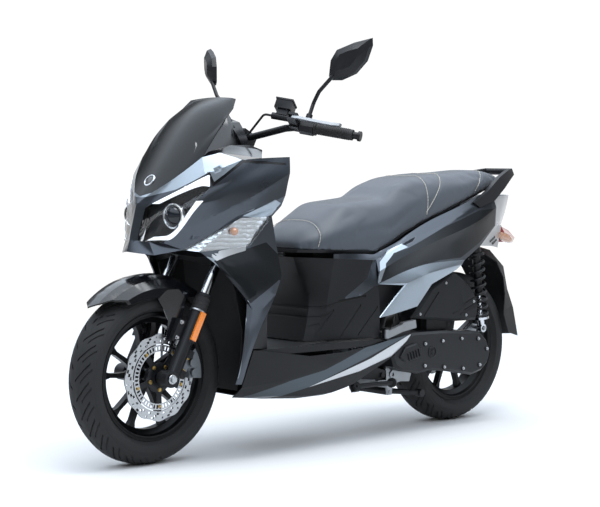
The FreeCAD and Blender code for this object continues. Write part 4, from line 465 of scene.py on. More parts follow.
def add_rod(form, start, end, radius, far_radius=None, sides=24):
    """A round bar between two points, its ends closed. Radii are in millimetres."""
    run = end - start
    made = bmesh.ops.create_cone(form, cap_ends=True, segments=sides, radius1=radius * MM,
                                 radius2=(radius if far_radius is None else far_radius) * MM,
                                 depth=run.length,
                                 matrix=facing(run, (start + end) / 2))
    return made["verts"]


def add_block(form, centre, along, out, size):
    """A block of a size (along, across, out), turned to two directions."""
    along, out = along.normalized(), out.normalized()
    side = out.cross(along).normalized()
    turn = Matrix((along, side, out)).transposed().to_4x4()
    grow = Matrix.Diagonal([s * MM for s in size] + [1])
    return bmesh.ops.create_cube(form, size=1.0, matrix=Matrix.Translation(centre) @ turn @ grow)["verts"]


def add_plate(form, outline, sweep):
    """A flat outline of points, swept to a solid."""
    corners = [form.verts.new(p) for p in outline]
    base = form.faces.new(corners)
    grown = bmesh.ops.extrude_face_region(form, geom=[base])["geom"]
    moved = [v for v in grown if isinstance(v, bmesh.types.BMVert)]
    bmesh.ops.translate(form, verts=moved, vec=sweep)
    bmesh.ops.recalc_face_normals(form, faces=form.faces)
    return corners + moved


def add_turned(form, profile, centre, axis, steps=72, ring=False):
    """A chain of (along the axis, radius) points spun round it, in millimetres. A ring's chain is closed."""
    axis = axis.normalized()
    out = axis.orthogonal().normalized()
    before = set(form.faces)
    verts = [form.verts.new(centre + (axis * along + out * radius) * MM) for along, radius in profile]
    edges = [form.edges.new(pair) for pair in zip(verts, verts[1:] + (verts[:1] if ring else []))]
    bmesh.ops.spin(form, geom=verts + edges, cent=centre, axis=axis, dvec=(0, 0, 0), angle=2 * math.pi,
                   steps=steps, use_merge=True)
    faces = [face for face in form.faces if face not in before]
    spun = list({v for face in faces for v in face.verts})
    bmesh.ops.remove_doubles(form, verts=spun, dist=0.005 * MM)
    faces = [face for face in form.faces if face not in before]
    bmesh.ops.recalc_face_normals(form, faces=faces)
    return faces


def add_band(form, one, other):
    """A strip of faces between two lines of as many points."""
    lines = []
    for points in (one, other):
        verts = [form.verts.new(p) for p in points]
        lines.append([form.edges.new(pair) for pair in zip(verts, verts[1:])])
    return bmesh.ops.bridge_loops(form, edges=lines[0] + lines[1])["faces"]


def add_curved_band(form, one, other, steps):
    """A strip of faces between two smooth lines through (x, y, z) places."""
    add_band(form, *(curve_through([at(*place) for place in line], steps) for line in (one, other)))


def add_bar(form, start, end, wide, tall):
    """A straight bar laid along a side, from one place on it to another."""
    add_block(form, (start + end) / 2, end - start, ACROSS, ((end - start).length / MM, wide, tall))


def round_axle(centre, turn, reach, y=0.0):
    """A point round an axle: at a turn in radians, and a reach and a place across in millimetres."""
    return centre + Vector((math.cos(turn) * reach, y, math.sin(turn) * reach)) * MM


def lie_of(face, centre, steps):
    """Where a face lies round an axle: its middle, its reach in millimetres and its step of the turn."""
    middle = face.calc_center_median() - centre
    turn = math.atan2(middle.z, middle.x) / (2 * math.pi)
    return middle, math.hypot(middle.x, middle.z) / MM, int(turn * steps + steps)


def add_arm(form, centre, turn, outline, y, thick):
    """A flat arm of a wheel: (reach, degrees) points about its turn, swept across from a place y."""
    add_plate(form, [round_axle(centre, turn + math.radians(a), r, y) for r, a in outline],
              ACROSS * thick * MM)


def add_bolt(form, centre, out, radius, tall=5.0):
    """A hexagon flange bolt."""
    out = out.normalized()
    add_rod(form, centre - out * MM, centre + out * 1.4 * MM, radius * 1.35, radius * 1.2, 20)
    add_rod(form, centre, centre + out * tall * MM, radius, radius * 0.94, 6)


def thicken(form, wall):
    """Gives an open sheet its wall, in millimetres."""
    bmesh.ops.recalc_face_normals(form, faces=form.faces)
    bmesh.ops.solidify(form, geom=form.faces[:], thickness=wall * MM)


def both_sides(form):
    """Adds the mirror image of everything in the form across the centre plane."""
    bmesh.ops.mirror(form, geom=form.verts[:] + form.edges[:] + form.faces[:], axis="Y", merge_dist=0.0)
    bmesh.ops.recalc_face_normals(form, faces=form.faces)


def curve_through(points, steps=8):
    """Points of a smooth line through the given ones."""
    line = []
    padded = [points[0] * 2 - points[1]] + list(points) + [points[-1] * 2 - points[-2]]
    for a, b, c, d in zip(padded, padded[1:], padded[2:], padded[3:]):
        for k in range(steps):
            t = k / steps
            line.append(0.5 * (2 * b + (c - a) * t + (2 * a - 5 * b + 4 * c - d) * t * t
                               + (3 * b - a - 3 * c + d) * t ** 3))
    return line + [points[-1]]


def crease(form, path, lifts, width=0.0):
    """Folds the panels of both sides along a path of (x, z) points of the side view: each point of it stands
    out by its own lift, which fades to nothing at a width to either side."""
    spans = []
    for (x1, z1), (x2, z2), lift1, lift2 in zip(path, path[1:], lifts, lifts[1:]):
        start = at(x1, 0, z1)
        run = at(x2, 0, z2) - start
        spans.append((start, run, lift1, lift2))
        plane = run.cross(ACROSS).normalized()
        cut = set()
        for face in form.faces:
            shares = [(v.co - start).dot(run) / run.length_squared for v in face.verts]
            sides = [(v.co - start).dot(plane) for v in face.verts]
            if max(shares) > 0 and min(shares) < 1 and max(sides) > 0 > min(sides):
                cut.update((face, *face.edges, *face.verts))
        bmesh.ops.bisect_plane(form, geom=list(cut), dist=0.2 * MM, plane_co=start, plane_no=plane)
    if not width:
        return
    for v in form.verts:
        spot = Vector((v.co.x, 0, v.co.z))
        best = None
        for start, run, lift1, lift2 in spans:
            share = min(1.0, max(0.0, (spot - start).dot(run) / run.length_squared))
            away = (spot - start - run * share).length / MM
            if best is None or away < best[0]:
                best = (away, lift1 + (lift2 - lift1) * share)
        if best[0] < width:
            v.co.y += math.copysign(best[1] * (1 - best[0] / width) * MM, v.co.y)


def within(outline, spot):
    """Whether a point lies, in the side view, inside a closed outline of (x, z) points."""
    x, z = (spot.x + AXLE_X) / MM, spot.z / MM
    odd = False
    for (x1, z1), (x2, z2) in zip(outline, outline[1:] + outline[:1]):
        if (z1 > z) != (z2 > z) and x < x1 + (z - z1) * (x2 - x1) / (z2 - z1):
            odd = not odd
    return odd


def tint(form, outline, index, cut=True):
    """Gives the outward faces inside an outline of the side view another of the piece's finishes."""
    if cut:
        closed = outline + outline[:1]
        crease(form, closed, [0] * len(closed))
    form.normal_update()
    for face in form.faces:
        middle = face.calc_center_median()
        if face.normal.y * middle.y > 0 and within(outline, middle):
            face.material_index = index


# Bodywork

class Piece(bpy.types.Operator):
    """What the operators that add pieces share: each can be undone."""
    bl_options = {"REGISTER", "UNDO"}


class SCOOTER_OT_finishes(bpy.types.Operator):
    """Mixes the paints, plastics, metals and fabrics"""
    bl_idname = "scooter.finishes"
    bl_label = "Finishes"

    def execute(self, context):
        mix_finishes(context.scene.scooter_colours)
        return {"FINISHED"}


class SCOOTER_OT_panels(Piece):
    """Adds the painted cowls, shields, side panels and tail"""
    bl_idname = "scooter.panels"
    bl_label = "Painted panels"

    # The folds pressed into the panels: a path of the side view, how far its points stand out, and its width.
    FOLDS = {
        "front_cowl": (([(1000, 877), (1112, 817), (1254, 742), (1361, 680)], [9, 11, 10, 3], 62),
                       ([(1030, 801), (1100, 772), (1190, 737)], [-5, -7, -2], 34)),
        "leg_shields": (([(1056, 556), (1157, 492)], [3, 11], 80),
                        ([(1236, 612), (1191, 540), (1157, 492), (1149, 430), (1163, 262)], [5, 8, 10, 9, 5],
                         26)),
        "side_panels": (([(540, 545), (500, 600), (432, 623), (114, 730), (10, 765)], [2, 6, 9, 9, 3], 60),),
    }
    SHIELD_BAND = [(1236, 612), (1191, 540), (1157, 492), (1149, 430), (1163, 262), (1230, 250), (1280, 430),
                   (1310, 620)]
    # Panels of another finish, by their outlines in the side view: 1 is the light paint, 2 gloss black and
    # 3 the dark paint, which is painted shade. Some light-paint panels are painted highlights: the cowl's
    # lower triangle, the side panel's front edge and part of the cowl's upper strip.
    TINTS = {
        # The cowl's upper strip, in the light paint: partly its accent paint and partly a painted highlight on
        # its upturned face.
        "front_cowl": (([(1450, 800), (1405, 786), (1350, 813), (1280, 866), (1268, 835), (1169, 900),
                         (1140, 908),
                         (1100, 1010), (1450, 1010)], 1),
                       ([(1283, 862), (1276, 867), (1264, 836), (1169, 903), (1030, 896), (1030, 889),
                         (1167, 894),
                         (1269, 824)], 2),
                       # The cowl's lower triangle, in the light paint, is a painted highlight.
                       ([(1180, 738), (1074, 786), (1050, 776), (1080, 742), (1117, 730)], 1)),
        # The leg shield's upper facet, in the dark paint, is painted shade.
        "leg_shields": (([(1245, 606), (1219, 616), (1160, 642), (1100, 660), (1040, 600), (1040, 540),
                          (1066, 548),
                          (1150, 480), (1160, 490), (1195, 540)], 3),),
        # The side panel's middle facet, in the dark paint, is painted shade.
        "side_panels": (([(560, 520), (539, 583), (492, 612), (428, 625), (222, 692), (0, 745), (-120, 752),
                          (-120, 690), (0, 635), (130, 585), (250, 580), (389, 560), (500, 530)], 3),
                        # The strip along the side panel's front edge, in the light paint, is a painted
                        # highlight on its chamfer.
                        ([(580, 512), (548, 583), (500, 620), (440, 640), (424, 629), (488, 610), (530, 578),
                          (560, 520)], 1)),
    }

    def execute(self, context):
        sizes = settings()
        for name, finish, slot in (
                ("front_cowl", "body", "graphite_paint"), ("leg_shields", "body", "graphite_paint"),
                ("side_panels", "body", "graphite_paint"), ("side_accents", "accent", "accent_grey"),
                ("tail_cowl", "silver", "tail_pale"), ("screen_cowl", "gloss", "gloss_black"),
                ("windshield", "screen", "screen_tint"), ("front_mudguard", "gloss", "gloss_black")):
            form = clean_copy(name) if name == "front_mudguard" else curved_copy(name)
            for path, lifts, width in self.FOLDS.get(name, ()):
                crease(form, path, lifts, width)
            if name == "leg_shields":
                tint(form, self.SHIELD_BAND, 1, False)
            for outline, index in self.TINTS.get(name, ()):
                tint(form, outline, index)
            # The fourth finish is the dark paint that serves as painted shade.
            piece(form, name + "_skin", [FINISH[each] for each in (finish, "accent", "gloss", "shade")],
                  "fork" if name == "front_mudguard" else "chassis", [name], sizes.panel_edge, 15)
        self.boss()
        self.dash_sides()
        self.ledges()
        return {"FINISHED"}

    def boss(self):
        """The blank round boss on the screen's foot, in its bright ring."""
        spot, out = at_front(-7, 0, 838), Vector((0.80, 0, 0.59))
        ring, dome = bmesh.new(), bmesh.new()
        add_turned(ring, [(-8, 16), (-8, 20), (1, 20.5), (3, 19), (3, 16.6), (1, 16)], spot, out, 48, True)
        add_turned(dome, [(-8, 0), (-8, 16.4), (0.6, 16.4), (2.0, 9), (2.4, 0)], spot, out, 48)
        piece(ring, "screen_boss_ring", FINISH["chromed"], "chassis", (), 0.4 * MM)
        piece(dome, "screen_boss", FINISH["gloss"], "chassis", (), 0.3 * MM)

    def dash_sides(self):
        """The shroud on each side of the dash, behind the screen."""
        foot = [(1290, 108, 908), (1240, 126, 908), (1170, 134, 914), (1108, 134, 926)]
        waist = [(1272, 98, 938), (1215, 108, 972), (1150, 112, 1004), (1108, 112, 990)]
        top = [(1262, 84, 952), (1200, 84, 1006), (1140, 82, 1042), (1116, 80, 1026)]
        form = bmesh.new()
        add_curved_band(form, foot, waist, 5)
        add_curved_band(form, waist, top, 5)
        bmesh.ops.remove_doubles(form, verts=form.verts, dist=0.1 * MM)
        thicken(form, 2.4)
        both_sides(form)
        piece(form, "dash_sides", FINISH["gloss"], "chassis", (), 0.6 * MM, 40)

    def ledges(self):
        """The pale ledge under each indicator."""
        form = bmesh.new()
        add_curved_band(form, [(1270, 153, 631), (1218, 184, 640), (1168, 210, 651)],
                        [(1242, 165, 605), (1214, 187, 621), (1170, 212, 637)], 4)
        thicken(form, 6)
        both_sides(form)
        piece(form, "indicator_ledges", FINISH["silver"], "chassis", (), 0.8 * MM)


class SCOOTER_OT_mouldings(Piece):
    """Adds the unpainted plastic: floor, tunnel, liner, inner shield, guards and bins"""
    bl_idname = "scooter.mouldings"
    bl_label = "Plastic mouldings"

    # Fields of another finish on the skirts, as outlines of the side view.
    SKIRT_FLASH = [(1105, 192), (952, 230), (802, 252), (618, 311), (383, 352), (383, 342), (860, 202),
                   (980, 176),
                   (1100, 172)]
    SKIRT_WEDGE = [(860, 202), (585, 273), (383, 342), (441, 289), (479, 272), (631, 235)]
    # The tunnel's grooves: its steps and slanted channels, as paths of the side view.
    GROOVES = ([(796, 440), (760, 441), (700, 461), (612, 476)], [(802, 409), (765, 411), (722, 432)],
               [(806, 380), (770, 388)], [(723, 433), (790, 351)], [(630, 447), (702, 351)],
               [(570, 440), (636, 351)])
    GROOVE_WIDE, GROOVE_DEEP = 8, 2.4
    # The painted field behind them.
    SIDE_FRONT = [(560, 606), (603, 534), (683, 474), (682, 460), (625, 479), (583, 506), (540, 512),
                  (500, 515),
                  (500, 606)]

    def execute(self, context):
        sizes = settings()
        for name in ("inner_shield", "wheel_liner", "floorboard", "rear_mudguard", "storage_bin",
                     "fuel_tank"):
            finish = "plastic" if name in ("inner_shield", "floorboard") else "guard"
            dress(name, FINISH[finish], "chassis")
        self.tunnel(sizes)
        self.floor_ribs()
        dress("grab_rail", FINISH["nylon"], "chassis", 3 * MM)
        dress("instrument_cluster", FINISH["nylon"], "chassis", 2 * MM)
        dress("seat_base", FINISH["plastic"], "seat")
        skirts = clean_copy("side_skirts")
        tint(skirts, self.SKIRT_FLASH, 1)
        tint(skirts, self.SKIRT_WEDGE, 2)
        piece(skirts, "side_skirts_skin", [FINISH["plastic"], FINISH["flash"], FINISH["silver"]], "chassis",
              ["side_skirts"], sizes.part_edge, 24)
        return {"FINISHED"}

    def tunnel(self, sizes):
        form = curved_copy("tunnel_cover", 24)
        tint(form, self.SIDE_FRONT, 1)
        for path in self.GROOVES:
            half = self.GROOVE_WIDE / 2
            tint(form, [(x, z + half) for x, z in path] + [(x, z - half) for x, z in reversed(path)], 2)
        cut = [face for face in form.faces if face.material_index == 2]
        bmesh.ops.inset_region(form, faces=cut, thickness=1.2 * MM, depth=-self.GROOVE_DEEP * MM)
        # The grooves' faces take the darker guard plastic: painted shade in their recesses.
        piece(form, "tunnel_cover_skin", [FINISH["plastic"], FINISH["body"], FINISH["guard"]], "chassis",
              ["tunnel_cover"], sizes.part_edge, 16)
        form = bmesh.new()
        add_plate(form, [at(x, 158, z) for x, z in ((590, 400), (590, 505), (545, 530), (470, 538),
                                                    (402, 545),
                                                    (398, 470), (440, 430), (506, 412), (530, 400))],
                  ACROSS * 6 * MM)
        both_sides(form)
        piece(form, "engine_side_covers", FINISH["plastic"], "chassis", (), 1.5 * MM)

    def floor_ribs(self):
        """Rubber ribs let into each side of the floor."""
        form = bmesh.new()
        for index in range(6):
            add_block(form, at(850 - index * 14, 158 - index * 2, 334.5), Vector((0.94, 0.34, 0)),
                      Vector((0, 0, 1)), (150 - index * 12, 5, 3))
        both_sides(form)
        piece(form, "floor_ribs", FINISH["rubber"], "chassis", (), 0.8 * MM)


class SCOOTER_OT_lamps(Piece):
    """Adds the headlights, indicators and tail light"""
    bl_idname = "scooter.lamps"
    bl_label = "Lamps"

    def execute(self, context):
        dress("headlight_lenses", FINISH["lens"], "chassis", 0.6 * MM, 20, 2)
        dress("headlight_units", FINISH["nylon"], "chassis", 0.6 * MM)
        dress("indicator_lenses", FINISH["lens"], "chassis", 0.6 * MM)
        dress("tail_light", FINISH["red"], "chassis", 1.5 * MM)
        self.light_strips()
        self.linings()
        return {"FINISHED"}

    def light_strips(self):
        """The brow strip under each headlight's top edge, and the hooked strip round its lower corner."""
        brow_top = [(1395, 52, 771), (1344, 115, 813), (1284, 167, 855), (1276, 170, 846)]
        brow_low = [(1383, 70, 771), (1349, 111, 797), (1300, 153, 823), (1277, 172, 823)]
        hook_in = [(1400, 68, 675), (1389, 84, 676), (1373, 103, 680), (1354, 123, 704), (1335, 148, 750),
                   (1320, 163, 780)]
        hook_out = [(1412, 50, 664), (1389, 81, 666), (1366, 103, 668), (1346, 125, 696), (1322, 153, 748),
                    (1300, 170, 781)]
        form = bmesh.new()
        add_curved_band(form, brow_top, brow_low, 4)
        add_curved_band(form, hook_in, hook_out, 4)
        bmesh.ops.translate(form, verts=form.verts, vec=Vector((3, 2.4, 0)) * MM)
        thicken(form, 4)
        both_sides(form)
        piece(form, "daylight_strips", FINISH["guide"], "chassis", (), 0.5 * MM)

    def linings(self):
        """A dark bowl behind each headlight lens, with its projector's glass and ring, and the bright
        reflectors and amber bulbs of the indicators."""
        form = clean_copy("headlight_lenses")
        bmesh.ops.translate(form, verts=form.verts, vec=Vector((-30, 0, 0)) * MM)
        for v in form.verts:
            v.co.y -= math.copysign(8 * MM, v.co.y)
        piece(form, "headlight_bowls", FINISH["nylon"], "chassis", (), 0.5 * MM)
        glass, ring = bmesh.new(), bmesh.new()
        middle, aim = at_front(-16, 99, 736), Vector((1, 0.18, 0)).normalized()
        add_turned(glass, [(0, 0), (0, 29), (6, 27), (13, 20), (17, 11), (18.5, 0)], middle, aim, 32)
        add_turned(ring, [(-14, 30), (2, 30), (5, 33), (4, 37), (-2, 38), (-14, 36)], middle, aim, 40, True)
        both_sides(glass)
        both_sides(ring)
        piece(glass, "projector_glass", FINISH["projector"], "chassis", (), 0, 60)
        piece(ring, "projector_rings", FINISH["chrome"], "chassis", (), 0.4 * MM)
        form = clean_copy("indicator_lenses")
        for v in form.verts:
            v.co.y -= math.copysign(10 * MM, v.co.y)
            v.co.x -= 6 * MM
        piece(form, "indicator_reflectors", FINISH["chrome"], "chassis", (), 0.5 * MM)
        form = bmesh.new()
        spot = at_front(-175, 185, 690)
        add_turned(form, [(0, 0), (2, 9), (9, 13), (17, 11), (22, 5), (23.5, 0)], spot,
                   Vector((0.5, 0.8, 0.2)), 24)
        both_sides(form)
        piece(form, "indicator_bulbs", FINISH["bulb"], "chassis", (), 0, 60)


class SCOOTER_OT_machinery(Piece):
    """Adds the frame, engine, exhaust, suspension and stands"""
    bl_idname = "scooter.machinery"
    bl_label = "Machinery"

    def execute(self, context):
        for name, finish, body, slot in (
                ("main_frame", "black_steel", "chassis", "black_steel"),
                ("key_switch", "steel", "key", "key_metal"),
                ("steering_stem", "black_steel", "steering", "black_steel"),
                ("fork_stanchions", "chromed", "steering", "bright_steel"),
                ("handlebar", "black_steel", "steering", "black_steel"),
                ("fork_sliders", "black_cast", "fork", "black_alloy"),
                ("front_caliper", "grey_cast", "fork", "silver_alloy"),
                ("engine", "cast", "swing_unit", "cast_alloy"),
                ("cvt_cover", "nylon", "swing_unit", "black_plastic"),
                ("air_filter_box", "plastic", "swing_unit", "black_plastic"),
                ("exhaust", "exhaust", "swing_unit", "exhaust_steel"),
                ("shock_bodies", "black_steel", "shocks", "black_steel"),
                ("shock_rods", "chromed", "shock_rods", "bright_steel"),
                ("centre_stand", "black_steel", "centre_stand", "black_steel"),
                ("side_stand", "black_steel", "side_stand", "black_steel"),
                ("footpeg_left", "cast", "left_peg", "silver_alloy"),
                ("footpeg_right", "cast", "right_peg", "silver_alloy")):
            dress(name, FINISH[finish], body)
        self.fork_fittings()
        self.cover_fittings()
        self.tail_fittings()
        return {"FINISHED"}

    def fork_fittings(self):
        """Reflectors, dust boots and their rings, axle nuts and the bolts of the mudguard's stays."""
        amber, black, bright, zinc = bmesh.new(), bmesh.new(), bmesh.new(), bmesh.new()
        low, high = at(1296, 124, 371), at(1255, 124, 451)
        add_block(amber, (low + high) / 2, high - low, ACROSS, (90, 19, 8))
        add_block(black, (low + high) / 2 - ACROSS * 5 * MM, high - low, ACROSS, (100, 24, 4))
        add_turned(black, [(0, 15.8), (0, 23), (6, 24), (10, 22.6), (16, 24), (20, 22.6), (26, 24),
                           (30, 22.6), (38, 24),
                           (48, 19), (50, 15.8)], steer(29, 100, 226), STEER_UP, 32, True)
        add_turned(bright, [(0, 20), (0, 24.6), (5, 24.6), (5, 20)], steer(29, 100, 220), STEER_UP, 32, True)
        side = outer_side("fork_sliders")
        for x, z in ((1313, 424), (1331, 380)):
            add_bolt(bright, side(x, z), ACROSS, 5, 6)
        add_bolt(bright, side(1370, 262), ACROSS, 11, 8)
        side = outer_side("front_caliper")
        for x, z in ((1279, 318), (1300, 275)):
            add_bolt(zinc, side(x, z), ACROSS, 7, 7)
        for form, name, finish, slot in ((amber, "fork_reflectors", "amber", "lamp_clear"),
                                         (black, "fork_boots", "rubber", "black_rubber"),
                                         (bright, "fork_fasteners", "steel", "bright_steel")):
            both_sides(form)
            piece(form, name, FINISH[finish], "fork", (), 0.5 * MM)
        piece(zinc, "caliper_bolts", FINISH["brass"], "fork", (), 0.4 * MM)

    def cover_fittings(self):
        """The belt cover's roundel, intake louvres and bolts, the air box's ribs and screws, and the
        engine's bright lug."""
        cover, bright, box, lug = bmesh.new(), bmesh.new(), bmesh.new(), bmesh.new()
        side = outer_side("cvt_cover")
        spot = side(262, 270)
        add_turned(cover, [(-2, 15), (-2, 21), (2.5, 20), (2.5, 16.5)], spot, ACROSS, 40, True)
        for turn in (0, 60, 120):
            along = Vector((math.cos(math.radians(turn)), 0, math.sin(math.radians(turn))))
            add_block(cover, spot, along, ACROSS, (24, 4, 4))
        for index in range(5):
            add_block(cover, side(392 - index * 13, 262 + index * 3), Vector((0.35, 0, 1)), ACROSS,
                      (26, 4, 7))
        for x, z in ((300, 300), (210, 304), (110, 306), (20, 300), (-28, 262), (10, 208), (100, 202),
                     (200, 214), (300, 226)):
            spot = side(x, z)
            add_rod(cover, spot - ACROSS * 4 * MM, spot + ACROSS * 3 * MM, 10, 8.6, 20)
            add_bolt(bright, spot + ACROSS * 3 * MM, ACROSS, 4.4, 4)
        side = outer_side("air_filter_box")
        for (x1, z1), (x2, z2) in (((150, 393), (20, 431)), ((110, 388), (20, 414)),
                                   ((300, 392), (225, 470))):
            add_bar(box, side(x1, z1), side(x2, z2), 4, 4)
        for x, z in ((320, 400), (80, 385), (190, 500), (40, 430)):
            add_bolt(bright, side(x, z), ACROSS, 4, 3.4)
        add_plate(lug, [at(x, 92, z) for x, z in ((434, 232), (438, 199), (476, 182), (383, 174), (317, 169),
                                                  (308, 196),
                                                  (352, 214), (380, 236))], ACROSS * 14 * MM)
        add_turned(lug, [(0, 6), (0, 15), (5, 14), (5, 6)], at(404, 105, 200), ACROSS, 28, True)
        piece(cover, "belt_cover_mouldings", FINISH["nylon"], "swing_unit", (), 0.8 * MM)
        piece(bright, "belt_cover_bolts", FINISH["steel"], "swing_unit", (), 0.3 * MM)
        piece(box, "air_box_ribs", FINISH["guard"], "swing_unit", (), 1 * MM)
        piece(lug, "engine_lug", FINISH["cast"], "swing_unit", (), 1.2 * MM)

    def tail_fittings(self):
        """The tail's dark slots and the rear indicators."""
        slots, pods = bmesh.new(), bmesh.new()
        side = outer_side("tail_cowl")
        for (x1, z1), (x2, z2) in (((-84, 634), (-128, 650)), ((-104, 626), (-140, 640))):
            add_bar(slots, side(x1, z1), side(x2, z2), 8, 4)
        add_turned(pods, [(0, 0), (0, 12), (30, 16), (60, 14), (82, 8), (88, 0)], at(-168, 96, 655),
                   Vector((-0.95, -0.12, -0.28)), 20)
        both_sides(slots)
        both_sides(pods)
        piece(slots, "tail_slots", FINISH["gloss"], "chassis", (), 0.6 * MM)
        piece(pods, "rear_indicators", FINISH["bulb"], "chassis", (), 0, 50)


class SCOOTER_OT_springs(Piece):
    """Adds the shock springs"""
    bl_idname = "scooter.springs"
    bl_label = "Springs"

    FOOT, TOP = at(-48, 118, 330), at(0, 118, 640)
    WIRE_R, COIL_R = 4.5, 24.0
    FOOT_SEAT, TOP_SEAT = 46.6, 56.6        # from each eye to the middle of the end coil's wire
    TURNS, STEPS = 8, 36                    # the coils, and the steps of each

    def execute(self, context):
        up = (self.TOP - self.FOOT).normalized()
        high = (self.TOP - self.FOOT).length / MM - self.TOP_SEAT
        form = bmesh.new()
        out = up.orthogonal().normalized()
        start = self.FOOT + (up * self.FOOT_SEAT + out * self.COIL_R) * MM
        ring = bmesh.ops.create_circle(form, segments=10, radius=self.WIRE_R * MM,
                                       matrix=facing(up.cross(out), start))["verts"]
        edges = list({e for v in ring for e in v.link_edges})
        steps = self.TURNS * self.STEPS
        bmesh.ops.contextual_create(form, geom=ring)
        bmesh.ops.spin(form, geom=ring + edges, cent=self.FOOT, axis=up,
                       dvec=up * (high - self.FOOT_SEAT) * MM / steps, angle=2 * math.pi * self.TURNS,
                       steps=steps)
        bmesh.ops.holes_fill(form, edges=[e for e in form.edges if e.is_boundary], sides=0)
        bmesh.ops.recalc_face_normals(form, faces=form.faces)
        both_sides(form)
        coils = piece(form, "coil_springs", FINISH["black_steel"], "shocks", ["shock_springs"],
                      0, 50)
        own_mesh(coils)
        return {"FINISHED"}


